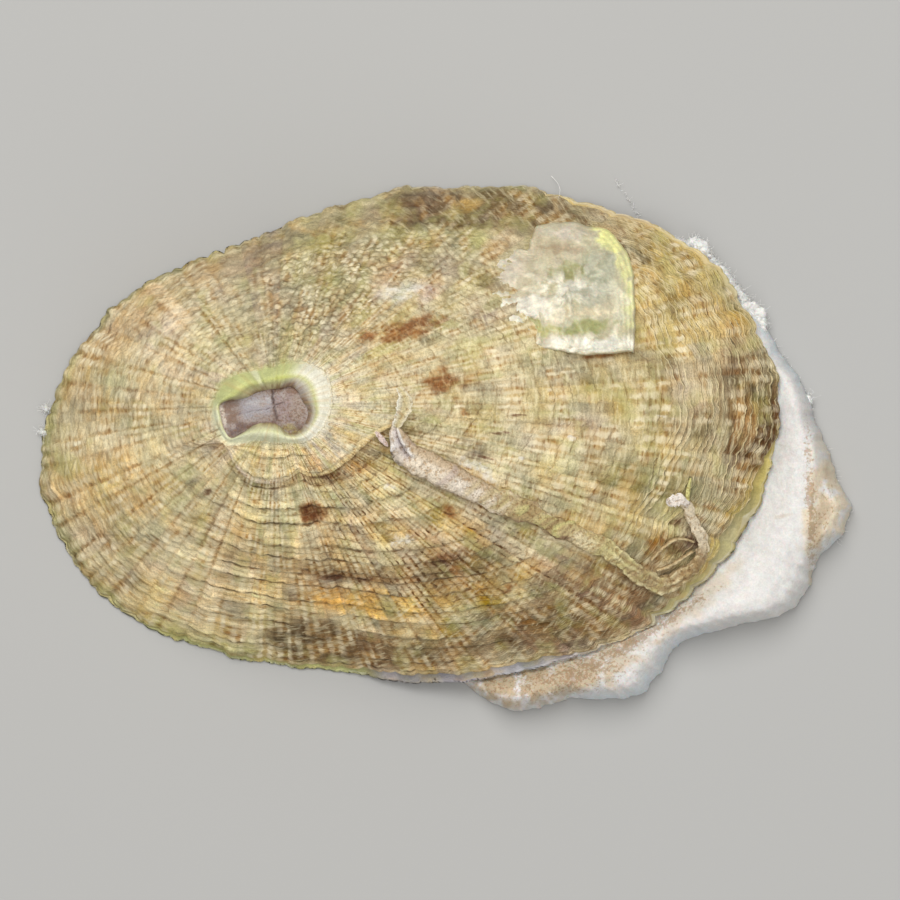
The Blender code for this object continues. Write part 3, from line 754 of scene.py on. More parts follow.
    # callus: green above, white behind, pale green below
    above = sector(angle, 115, 55, 20) * (1 - 0.7 * sector(angle, 122, 2, 6))
    callus = tinted((0.62, 0.62, 0.42), (0.50, 0.52, 0.22), above)
    callus = tinted(callus, (0.71, 0.68, 0.55), sector(angle, 2, 42, 30))
    inside = rows - outside
    cx, cy = x[outside:], y[outside:]
    ways = [way for way, _, _ in callusRings]
    way = np.array(ways + [1.0] * (inside - len(ways)))[:, None]
    depth = np.arange(inside)[:, None] - len(ways)
    within = np.clip((depth - len(wallRings)) / (shellSizes["innerRings"] - 1), 0, 1) ** 0.9
    scarAt, scarred = muscleScar(angle)
    scar = window(within, scarAt, 0.03, 0.08) * scarred
    lining = tinted((0.74, 0.72, 0.64), (0.60, 0.56, 0.44), 0.7 * scar)
    lining = tinted(lining, (0.60, 0.56, 0.36), 0.6 * ease(0.7, 1.0, within))
    lining = lining * (1 + 0.05 * cloud(cx, cy, 3.0, 44) + 0.03 * cloud(cx, cy, 0.8, 45))[..., None]
    lower = callus * (1 + 0.1 * cloud(cx, cy, 0.7, 64) + 0.05 * cloud(cx, cy, 0.25, 65))[..., None]
    lipLine = window(way, 0.62, 0.03, 0.09) * (0.3 + 0.4 * sector(angle, 35, 45, 25))
    lower = tinted(lower, (0.50, 0.52, 0.10), lipLine * 0.8)
    wall = tinted((0.50, 0.46, 0.26), (0.42, 0.37, 0.33), sector(angle, 15, 45, 20))
    wall = wall * (1 + 0.2 * cloud(cx, cy, 0.4, 66))[..., None]
    lower = tinted(lower, wall, ease(0.66, 0.8, way))
    # darker deeper down the keyhole's wall
    deepDark = ease(0.0, 0.6, cloud(cx, cy, 0.35, 67) + 1.2 * (way - 0.8)) * ease(0.72, 0.92, way)
    lower = tinted(lower, (0.20, 0.11, 0.06), deepDark * 0.85)
    paint[outside:] = tinted(lower, lining, ease(0.5, 2.5, depth))
    paint[:outside] = tinted(paint[:outside], callus, ease(0.9, 0.0, lines)[:, None] * 0.6)
    paint[-3:] = paint[0] * 0.8 + 0.1

    def whole(values):  # with nothing of them on the callus and inside
        result = np.zeros(full + values.shape[2:])
        result[:outside] = values
        return result

    gloss = np.zeros(full)
    gloss[outside + len(callusRings) + 1:] = 1
    gloss[outside:outside + len(callusRings)] = 0.5
    return {
        "paint": (paint, whole(ribAmount)),
        "dirtShadePale": (whole(dirtShadePale), gloss),
        "stain": (whole(stain), whole(silt)),
        "trim": (whole(trim), whole(travel / shellSizes["travelSpan"])),
    }


def shellMaterial():
    n = Nodes("ribbed shell lime")
    # pits and gaps: dirt and painted shade in the recesses; pale: pale beads
    pitDirtShade, gapDirtShade, paleWear = n.split(n.paint("dirtShadePale"))
    inner = n.paint("dirtShadePale", "Alpha")
    rust, brown, white = n.split(n.paint("stain"))
    silt = n.paint("stain", "Alpha")
    crestWear, grainWear, lip = n.split(n.paint("trim"))
    outer = n.sum("SUBTRACT", 1.0, n.sum("MAXIMUM", inner, n.times(lip, 0.35)), clamp=True)

    growth = n.add("UVMap", {}, uv_map="growth")
    wobble = n.noise(0.4, 2.0, output="Color")
    shake = n.add("VectorMath", {0: wobble, 1: (0.5, 0.5, 0.5)}, operation="SUBTRACT")
    shake = n.add("VectorMath", {0: shake, 1: (0.7, 0.8, 0.0)}, operation="MULTIPLY")
    moved = n.add("VectorMath", {0: growth, 1: shake}, operation="ADD")
    parts = n.tree.nodes.new("ShaderNodeSeparateXYZ")
    n.put(parts.inputs[0], moved)
    u, v = parts.outputs[0], parts.outputs[1]
    toGroove, toLine = n.sum("PINGPONG", u, 0.5), n.sum("PINGPONG", v, 0.5)
    step = n.sum("FRACT", v)
    ribGap = n.between(toGroove, 0.2, 0.05)
    edge = n.times(n.between(step, 0.66, 0.8), n.between(step, 1.0, 0.92))
    lineWidth = n.sum("MULTIPLY_ADD", n.times(gapDirtShade, gapDirtShade), 0.34, 0.09)
    lineGap = n.between(toLine, lineWidth, 0.02)
    still = n.tree.nodes.new("ShaderNodeSeparateXYZ")
    n.put(still.inputs[0], growth)
    turn = n.times(still.outputs[0], fullTurn / shellSizes["ribs"])
    girth = shellSizes["ribs"] / fullTurn
    ring = [n.times(n.sum(part, turn), girth) for part in ("COSINE", "SINE")]
    ring.append(n.times(n.paint("trim", "Alpha"), shellSizes["travelSpan"]))
    ring = n.add("CombineXYZ", dict(enumerate(ring)))

    def cells(ribSize, lineSize, detail):  # patches sized in ribs and growth lines
        scale = (1 / ribSize, 1 / ribSize, 1 / lineSize)
        scaled = n.add("VectorMath", {0: ring, 1: scale}, operation="MULTIPLY")
        return n.add("TexNoise", {"Vector": scaled, "Scale": 1.0, "Detail": detail})

    cellPlace = n.add("VectorMath", {0: moved}, operation="FLOOR")
    cell = n.add("TexWhiteNoise", {"Vector": cellPlace}, noise_dimensions="3D")
    grainScale = {"Vector": n.place(), "Scale": 1 / (0.34 * mm)}
    grainDistance = n.add("TexVoronoi", grainScale, 0)
    grainTone = n.split(n.add("TexVoronoi", grainScale, 1))[0]

    fine = n.noise(0.1, 3.0, rough=0.7)
    breakUp = n.noise(0.35, 3.0)
    patch, greenPatch = cells(2.2, 3.0, 4.0), cells(2.8, 5.0, 4.0)
    dash, rowBreak = cells(1.5, 0.5, 3.0), cells(1.8, 0.9, 2.0)

    colour = n.paint("paint")
    plain = (1, 1, 1, 1)
    colour = n.mix(outer, colour, n.sum("MULTIPLY_ADD", cell, 0.28, 0.86), "MULTIPLY")
    colour = n.mix(outer, colour, n.between(fine, 0.25, 0.75, 0.74, 1.26), "MULTIPLY")
    grainShade = n.mix(grainWear, plain, n.sum("MULTIPLY_ADD", grainTone, 0.4, 0.8))
    colour = n.mix(1.0, colour, grainShade, "MULTIPLY")
    warmth = n.times(n.between(patch, 0.5, 0.68), 0.5, outer)
    colour = n.mix(warmth, colour, (0.60, 0.37, 0.13, 1))
    greenness = n.times(n.between(greenPatch, 0.52, 0.66), 0.4, outer)
    colour = n.mix(greenness, colour, (0.48, 0.46, 0.17, 1))
    busy = n.times(outer, n.between(paleWear, 0.0, 0.4, 0.35, 1.0))
    busy = n.times(busy, n.sum("MULTIPLY_ADD", grainWear, -0.5, 1.0))
    dirt = n.times(n.between(dash, 0.52, 0.66), n.between(patch, 0.36, 0.6, 0.25, 0.85))
    colour = n.mix(n.times(dirt, busy), colour, (0.54, 0.38, 0.21, 1), "MULTIPLY")
    paler = n.times(n.between(dash, 0.47, 0.34, 0.0, 0.4), busy)
    colour = n.mix(paler, colour, (0.86, 0.76, 0.48, 1))
    # the grooves between ribs darker and browner, partly painted shade
    valley = n.times(n.between(toGroove, 0.3, 0.04), n.between(rowBreak, 0.36, 0.6, 0.45, 1.0))
    valley = n.times(valley, n.paint("paint", "Alpha"))
    colour = n.mix(n.times(valley, 0.85), colour, (0.62, 0.46, 0.30, 1), "MULTIPLY")
    ribTop = n.between(toGroove, 0.12, 0.4)
    beadTop = n.times(ribTop, n.between(patch, 0.42, 0.62))
    beadTop = n.times(beadTop, n.between(toLine, 0.04, 0.18, 0.4, 1.0))
    beadDot = n.times(ribTop, n.between(toLine, 0.1, 0.34), n.between(cell, 0.1, 0.7))
    grainTop = n.times(n.between(grainDistance, 0.6, 0.25), n.between(grainTone, 0.1, 0.8, 0.15, 0.95))
    grainTop = n.times(n.sum("MAXIMUM", n.times(beadDot, 0.35), grainTop), grainWear)
    paleness = n.sum("MAXIMUM", n.times(beadTop, n.between(cell, 0.0, 0.8, 0.4, 1.0)), grainTop)
    colour = n.mix(n.times(paleness, paleWear), colour, (0.88, 0.79, 0.55, 1))

    # dirt and painted shade in the pits, the gaps under the growth lines and the crevices between grains
    toBack = n.sum("PINGPONG", n.sum("ADD", v, 0.3), 0.5)
    pits = n.times(ribGap, n.between(toBack, 0.42, 0.22, 0.1, 1.0))
    gap = n.sum("MAXIMUM", n.times(pits, pitDirtShade), n.times(lineGap, gapDirtShade))
    gap = n.times(gap, n.between(rowBreak, 0.4, 0.58, 0.2, 1.0))
    crevice = n.times(n.between(grainDistance, 0.42, 0.75), n.between(patch, 0.36, 0.6, 0.15, 0.6))
    gap = n.sum("MAXIMUM", gap, n.times(crevice, grainWear))
    colour = n.mix(n.times(gap, 0.92), colour, (0.34, 0.20, 0.10, 1), "MULTIPLY")
    crest = n.times(edge, crestWear, n.between(rowBreak, 0.32, 0.55, 0.3, 1.0))
    colour = n.mix(crest, colour, (0.80, 0.67, 0.38, 1))

    # fine growth lines where they crowd
    waves = n.sum("SINE", n.times(v, 3 * fullTurn))
    waves = n.times(n.between(waves, 0.0, 1.0), silt)
    colour = n.mix(n.times(waves, 0.5), colour, (0.45, 0.32, 0.2, 1), "MULTIPLY")

    speck = n.noise(0.2, 3.0)
    for mask, tint, blend in (
        (rust, (0.74, 0.46, 0.22, 1), "MULTIPLY"),
        (brown, (0.32, 0.15, 0.09, 1), "MULTIPLY"),
        (white, (0.80, 0.77, 0.68, 1), "MIX"),
    ):
        sharp = n.sum("ADD", mask, n.times(n.sum("SUBTRACT", breakUp, 0.5), 1.6))
        sharp = n.times(n.between(sharp, 0.3, 0.75), n.between(mask, 0.05, 0.35))
        sharp = n.times(sharp, n.between(speck, 0.36, 0.6, 0.45, 1.0))
        colour = n.mix(n.times(sharp, 0.65), colour, tint, blend)

    height = n.sum("MULTIPLY_ADD", fine, 0.5, n.times(breakUp, 0.5))
    height = n.sum("MULTIPLY_ADD", gap, -1.0, height)
    height = n.sum("MULTIPLY_ADD", crest, 0.6, height)
    height = n.sum("MULTIPLY_ADD", n.times(grainDistance, grainWear), -0.9, height)
    height = n.sum("MULTIPLY_ADD", n.times(beadDot, grainWear), 0.2, height)
    height = n.sum("MULTIPLY_ADD", waves, -0.5, height)
    height = n.times(height, outer)
    rough = n.mix(inner, n.between(breakUp, 0.3, 0.7, 0.55, 0.8), (0.22, 0.22, 0.22, 1))
    n.set(Base_Color=colour, Roughness=rough, Normal=n.bump(height, 0.12, 0.8))
    n.set(Specular_IOR_Level=0.22)
    return n.material


# Shared forms for the growths
def ball(name, segments, rings):  # a sphere to reshape: share of the way between the poles, and direction
    bpy.ops.mesh.primitive_uv_sphere_add(segments=segments, ring_count=rings, radius=1)
    obj = bpy.context.object
    obj.name = obj.data.name = name
    points = np.empty(len(obj.data.vertices) * 3)
    obj.data.vertices.foreach_get("co", points)
    points = points.reshape(-1, 3)
    return obj, np.arccos(np.clip(points[:, 2], -1, 1)) / math.pi, np.arctan2(points[:, 1], points[:, 0])


def washed(colour, x, y, washes, seed, patch, ragged):
    broken = cloud(x, y, patch, seed)
    for _, *spot, tint, strength in washes:
        mask = ease(0.2, 0.75, spotMask(x, y, *spot) * (1 + ragged * broken)) * strength
        colour = tinted(colour, tint, mask)
    return colour


def unit(vectors):
    return vectors / np.maximum(np.linalg.norm(vectors, axis=-1, keepdims=True), 1e-9)


def sweptPoints(path, up, wide, high, around):  # rings round a path, from its end to its start
    along = unit(np.gradient(path, axis=0))
    side = unit(np.cross(along, up))
    up = np.cross(side, along)
    sideways, upwards = (np.cos(around) * wide)[..., None], (np.sin(around) * high)[..., None]
    ring = side[:, None] * sideways + up[:, None] * upwards
    return (path[:, None] + ring)[::-1]


# Film across the keyhole
filmSizes = {"segments": 128, "rings": 64, "depth": 0.8, "tuck": 0.3, "thickness": 0.35, "crown": 0.1}
filmCracks = (  # start, end, half width, depth, from the keyhole's centre
    ((-1.9, -0.44), (-0.2, -0.14), 0.025, 0.03),
    ((-0.1, 0.85), (-0.1, 0.35), 0.09, 0.06),
    ((-0.12, 0.4), (-0.05, -0.1), 0.045, 0.06),
    ((-0.05, -0.1), (0.12, -0.75), 0.07, 0.05),
    ((-0.05, 0.0), (0.45, 0.15), 0.04, 0.03),
)
filmWashes = (
    ("clear mauve plate", (-1.0, -0.1), 0.95, 0.55, 8, (0.28, 0.255, 0.265), 0.95),
    ("light streak", (-0.7, 0.2), 0.6, 0.16, 10, (0.37, 0.345, 0.34), 0.7),
    ("mottled behind the crack", (0.55, -0.1), 0.6, 0.7, 0, (0.24, 0.17, 0.16), 0.85),
    ("grey hind end", (1.2, -0.1), 0.4, 0.6, 0, (0.27, 0.20, 0.15), 0.8),
    ("brown upper edge", (0.6, 0.8), 1.1, 0.15, 0, (0.15, 0.07, 0.03), 0.9),
    ("brown front end", (-2.3, -0.35), 0.42, 0.65, 0, (0.16, 0.085, 0.045), 0.85),
    ("pale front edge", (-2.7, -0.6), 0.1, 0.5, 15, (0.52, 0.44, 0.36), 0.9),
    ("dirt in the lower corner", (-2.0, -1.3), 0.5, 0.28, 20, (0.11, 0.06, 0.05), 0.95),
    ("dirt along the lower lip", (-0.6, -0.95), 1.0, 0.14, 5, (0.18, 0.11, 0.09), 0.8),
    ("olive pocket", (0.9, -1.3), 0.5, 0.25, -10, (0.24, 0.18, 0.04), 0.85),
    ("dark pocket corner", (1.35, -1.05), 0.3, 0.22, 30, (0.10, 0.05, 0.03), 0.9),
)


def lineDistance(x, y, start, end):
    (ax, ay), (bx, by) = start, end
    length = (bx - ax) ** 2 + (by - ay) ** 2
    share = np.clip(((x - ax) * (bx - ax) + (y - ay) * (by - ay)) / length, 0, 1)
    return np.hypot(x - ax - share * (bx - ax), y - ay - share * (by - ay))


def buildFilm():
    obj, along, angle = ball("keyhole_film", filmSizes["segments"], filmSizes["rings"])
    out = reach(asSeenFrom((0, 0), smoothLine(keyholeEdge, True)), angle) + filmSizes["tuck"]
    share = np.sin(along * math.pi)
    x, y = out * share * np.cos(angle), out * share * np.sin(angle)
    height = form["top"] - filmSizes["depth"] + filmSizes["crown"] * (1 - share**2)
    height = height + 0.03 * cloud(x, y, 0.5, 61) - 0.1 * ease(-0.2, 0.1, x) * ease(1.9, 1.0, x)
    cracks = 0
    for start, end, wide, deep in filmCracks:
        bend = 0.3 * wide + 0.02
        bent = x + bend * cloud(x, y, 0.2, 62), y + bend * cloud(x, y, 0.2, 67)
        near = lineDistance(*bent, start, end) / wide
        near = np.exp(-near**2) * (1 + 0.5 * cloud(x, y, 0.12, 68))
        height = height - deep * near
        cracks = np.maximum(cracks, near)
    height = height - filmSizes["thickness"] * ease(0.45, 0.55, along)
    writePoints(obj, form["centre"][0] + x, form["centre"][1] + y, height)
    colour = washed((0.28, 0.22, 0.19), x, y, filmWashes, 63, 0.3, 0.9)
    colour = tinted(colour, (0.08, 0.05, 0.05), cracks * 0.8)
    clean = np.clip(1.1 * spotMask(x, y, (-1.0, -0.1), 1.0, 0.55, 8), 0, 1)
    writeColour(obj, "paint", colour, 1 - 0.9 * clean)
    bpy.ops.object.shade_smooth()
    n = Nodes("grey film")
    dirt = n.noise(0.09, 3.0, rough=0.7)
    grains = n.between(n.noise(0.13, 3.0), 0.48, 0.62)
    colour = n.mix(1.0, n.paint("paint"), n.between(dirt, 0.25, 0.75, 0.78, 1.2), "MULTIPLY")
    dirty = n.times(n.times(grains, n.paint("paint", "Alpha")), 0.75)
    colour = n.mix(dirty, colour, (0.15, 0.075, 0.035, 1))
    n.set(Base_Color=colour, Roughness=n.between(dirt, 0.3, 0.7, 0.25, 0.5), Normal=n.bump(dirt, 0.03, 0.7))
    n.set(Subsurface_Weight=0.1, Subsurface_Scale=0.0004)
    settle(obj, "keyhole_membrane", n.material)


# Young oyster
oysterSizes = {
    "centre": (6.6, 8.6),
    "outline": (
        (10.14, 7.55), (10.08, 9.04), (9.87, 10.1), (9.34, 11.06), (8.65, 11.8), (7.75, 11.97), (6.8, 12.2),
        (5.35, 12.07), (4.76, 11.8), (4.29, 11.06), (3.7, 10.8), (2.96, 10.7), (2.2, 10.5), (1.57, 9.68),
        (1.73, 8.3), (2.32, 7.08), (2.9, 6.49), (4.4, 5.9), (5.1, 5.5), (6.0, 5.25), (7.3, 5.0), (9.8, 5.16),
        (10.08, 5.3),
    ),
    "segments": 256,
    "rings": 112,
    "levelLeft": 0.05,  # its top over the shell
    "levelRight": 0.5,
    "sink": 0.3,
}
oysterWashes = (
    ("tan upper left", (5.2, 10.6), 1.6, 1.0, 10, (0.52, 0.43, 0.28), 0.7),
    ("pinkish left", (3.2, 9.8), 1.3, 0.9, 0, (0.62, 0.54, 0.42), 0.8),
    ("pink-white blister", (6.5, 11.55), 1.2, 0.36, -5, (0.62, 0.54, 0.43), 0.85),
    ("brown below the blister", (6.2, 10.7), 1.1, 0.2, -5, (0.36, 0.26, 0.15), 0.7),
    ("yellow-green edge", (9.0, 11.0), 1.6, 0.5, -52, (0.76, 0.74, 0.28), 0.95),
    ("yellow-green side", (9.8, 8.6), 1.9, 0.28, 88, (0.68, 0.66, 0.30), 0.9),
    ("grey-green middle", (8.2, 9.5), 0.8, 1.1, 0, (0.38, 0.38, 0.26), 0.85),
    ("green smudge", (6.6, 9.6), 0.9, 0.3, 0, (0.30, 0.29, 0.10), 0.8),
    ("grey middle", (7.8, 8.2), 1.3, 0.5, 10, (0.42, 0.41, 0.31), 0.7),
    ("pale right", (9.2, 7.6), 0.5, 1.5, 0, (0.66, 0.62, 0.44), 0.8),
    ("cream bar", (7.3, 7.35), 1.7, 0.22, 6, (0.68, 0.58, 0.38), 0.85),
    ("green streak", (7.5, 6.5), 1.7, 0.2, 8, (0.28, 0.29, 0.09), 0.8),
    ("green lower left", (4.3, 6.6), 1.6, 0.3, -8, (0.38, 0.36, 0.12), 0.85),
    ("white lower strip", (8.1, 5.6), 2.4, 0.46, 3, (0.80, 0.77, 0.64), 1.0),
    ("white blobs", (6.8, 8.8), 0.7, 0.3, 20, (0.72, 0.69, 0.57), 0.8),
    ("white left blobs", (4.2, 7.4), 1.7, 0.5, 12, (0.74, 0.69, 0.58), 0.8),
)
oysterBlobs = (((6.8, 8.8), 1.2, 0.7, 20), ((4.2, 7.6), 2.2, 1.3, 12), ((8.1, 5.6), 2.5, 0.5, 3))


def buildOyster():
    sizes = oysterSizes
    obj, along, angle = ball("young_oyster_scale", sizes["segments"], sizes["rings"])
    outline = asSeenFrom(sizes["centre"], smoothLine(sizes["outline"], True))
    out = reach(outline, angle)
    leftward = ease(-0.2, -0.7, np.cos(angle))
    ragged = (0.06 + 0.3 * leftward) * cloud(np.cos(angle) * 4, np.sin(angle) * 4, 0.7, 71)
    share = np.sin(along * math.pi)
    x = sizes["centre"][0] + (out + ragged) * share * np.cos(angle)
    y = sizes["centre"][1] + (out + ragged) * share * np.sin(angle)
    height, steep, _, _ = surfaceAt(x, y)
    right = ease(3.0, 6.2, x + 0.3 * (y - 8.6))
    level = mix(sizes["levelLeft"], sizes["levelRight"], right)
    edge = out * (1 - share)
    crisp = np.sqrt(1 - (1 - np.clip(edge / 0.2, 0, 1)) ** 2)
    strayX, strayY = 0.3 * cloud(x, y, 0.6, 105), 0.3 * cloud(x, y, 0.6, 106)
    lumps = cloud(x + strayX, y + strayY, 0.36, 72, 2)
    blobby = np.clip(sum(spotMask(x, y, *spot) for spot in oysterBlobs), 0, 1)
    blobs = ease(-0.5, 0.8, lumps) * (0.4 + 0.6 * blobby)
    growth = 0.02 * np.sin(edge * fullTurn / 0.3) * ease(2.0, 0.2, edge) * right
    rise = level * (0.3 + 0.7 * crisp) + 0.15 * blobs + growth + 0.05 * cloud(x, y, 1.6, 73)
    rise = rise - 0.3 * (1 - right) * ease(1.5, 0.0, edge + 0.5 * lumps)
    rise = np.where(along > 0.5, -sizes["sink"], rise)
    height = height + rise * np.hypot(steep, 1)
    writePoints(obj, x, y, height)
    colour = tinted((0.56, 0.48, 0.33), (0.49, 0.44, 0.28), right)
    colour = washed(colour, x + strayX, y + strayY, oysterWashes, 74, 0.6, 0.6)
    colour = tinted(colour, (0.80, 0.76, 0.61), blobs * (0.3 + 0.5 * blobby))
    # darker in the hollows between the blobs: painted shade
    colour = colour * (1 + 0.10 * cloud(x, y, 0.4, 75) - 0.12 * ease(0.0, -0.6, lumps) * blobby)[:, None]
    writeColour(obj, "paint", colour)
    bpy.ops.object.shade_smooth()
    n = Nodes("young oyster shell")
    fine = n.noise(0.14, 3.0, rough=0.6)
    soft = n.noise(0.5, 3.0)
    colour = n.mix(1.0, n.paint("paint"), n.between(fine, 0.25, 0.75, 0.88, 1.12), "MULTIPLY")
    colour = n.mix(1.0, colour, n.between(soft, 0.3, 0.7, 0.86, 1.12), "MULTIPLY")
    n.set(Base_Color=colour, Roughness=n.between(fine, 0.3, 0.7, 0.35, 0.55), Normal=n.bump(soft, 0.06, 0.6))
    n.set(Subsurface_Weight=0.15, Subsurface_Scale=0.0005)
    settle(obj, "young_oyster", n.material)


# Worm tube
tubeSizes = {
    "route": (
        (-2.72, 1.5), (-2.5, 0.6), (-1.9, -0.35), (-0.6, -1.05), (1.0, -1.9), (2.9, -2.8), (4.9, -3.6),
        (7.0, -4.6), (9.2, -5.8), (10.9, -7.1), (12.1, -7.2), (13.4, -6.2), (13.9, -5.3), (13.6, -4.4),
        (13.1, -3.6), (12.9, -3.0), (12.2, -2.7),
    ),
    "rings": 440,
    "sides": 60,
    "halfWidth": (
        (0, 0.08), (0.02, 0.28), (0.055, 0.62), (0.11, 0.8), (0.2, 0.72), (0.29, 0.6), (0.36, 0.56),
        (0.52, 0.52), (0.62, 0.52), (0.72, 0.54), (0.8, 0.44), (0.9, 0.34), (0.97, 0.32), (1, 0.1),
    ),
    "halfHeight": (
        (0, 0.08), (0.03, 0.4), (0.08, 0.54), (0.18, 0.48), (0.29, 0.3), (0.36, 0.22), (0.52, 0.2),
        (0.62, 0.27), (0.72, 0.32), (0.8, 0.27), (0.9, 0.22), (1, 0.08),
    ),
    "lift": ((0, 1.6), (0.06, 0.7), (0.29, 0.5), (0.36, 0.3), (0.55, 0.3), (0.7, 0.6), (0.85, 0.8), (1, 1.3)),
    "ridges": (35, 90, 145),  # where its three keels run, round the tube in degrees
    "tearAt": 52,  # the torn opening near the mouth, round the tube and along it
    "tearHalf": 38,
    "tearFrom": 0.45,
    "tearTo": 2.35,
}
tubeFlap = (  # middle line of the torn flap above the mouth, half width, height over the shell
    (-2.6, 1.15, 0.2, 0.7), (-2.4, 1.6, 0.34, 0.8), (-2.2, 2.1, 0.42, 0.9), (-2.15, 2.6, 0.36, 0.95),
    (-2.3, 3.0, 0.24, 0.9), (-2.55, 3.25, 0.08, 0.85),
)
tubeChip = (  # pinkish chip beside the mouth, given the same way
    (-3.8, 1.05, 0.03, 0.2), (-3.55, 0.75, 0.14, 0.3), (-3.25, 0.4, 0.14, 0.3), (-3.05, 0.15, 0.05, 0.2),
)
tubeFlake = (  # white flake at the far end
    (11.85, -2.95, 0.16, 0.3), (12.15, -2.8, 0.34, 0.42), (12.6, -2.72, 0.3, 0.46), (13.0, -3.0, 0.14, 0.36),
)
tubeSpike = (  # green, above the flake
    (12.95, -2.95, 0.1, 0.3), (12.98, -2.3, 0.12, 0.3), (13.12, -1.55, 0.05, 0.12),
)
tubeRib = (  # thin ridge that closes the hook
    (11.0, -5.95, 0.06, 0.14), (11.6, -5.35, 0.09, 0.2), (12.15, -4.92, 0.08, 0.22),
    (12.7, -4.82, 0.09, 0.22), (13.3, -4.98, 0.07, 0.18),
)
tubeCrease = (  # and the one inside its lower bend
    (11.3, -6.5, 0.07, 0.14), (12.0, -6.3, 0.1, 0.2), (12.7, -5.85, 0.09, 0.2), (13.25, -5.5, 0.07, 0.18),
)


def skinOf(name, path, rings, colour):  # a closed piece from rings round a path, pinched at both ends
    ends = [np.broadcast_to(path[k], (1,) + rings.shape[1:]) for k in (-1, 0)]
    points = np.concatenate([ends[0], rings, ends[1]])
    obj = gridMesh(name, points.shape[1] - 1, len(points) - 1)
    writePoints(obj, *np.moveaxis(points, -1, 0))
    colour = colour[::-1]
    writeColour(obj, "paint", np.concatenate([colour[:1], colour, colour[-1:]]))
    closeSeams(obj)
    return obj


def overShell(x, y, lift):  # a path this far above the shell, and the way up from it
    height, steep, _, angle = surfaceAt(x, y)
    up = unit(np.stack([np.cos(angle) * steep, np.sin(angle) * steep, np.ones(len(x))], axis=1))
    return np.stack([x, y, height + lift * np.hypot(steep, 1)], axis=1), up


def scrap(name, line, thick, curl, tint, edgeTint):  # a small thin strip with its edges curled up
    x, y, wide, lift = smoothLine(line, False, 8).T
    path, up = overShell(x, y, lift)
    around = np.linspace(0, fullTurn, 21)[None]
    edge = np.abs(np.cos(around)) * (1 - 0.35 * (np.cos(around) > 0))
    high = thick * (1 + 0.4 * cloud(x, y, 0.15, 88))[:, None] * np.ones(around.shape)
    wide = wide[:, None] * (1 + 0.25 * cloud(x, y, 0.12, 87))[:, None]
    rings = sweptPoints(path, up, wide, high, around)
    rings[..., 2] += (curl * edge**2) * wide[::-1]
    colour = mix(np.array(tint), np.array(edgeTint), (edge**1.5)[..., None] * np.ones((len(x), 1, 1)))
    colour = colour * (1 + 0.15 * cloud(x, y, 0.25, 89))[:, None, None]
    return skinOf(name, path, rings, colour)


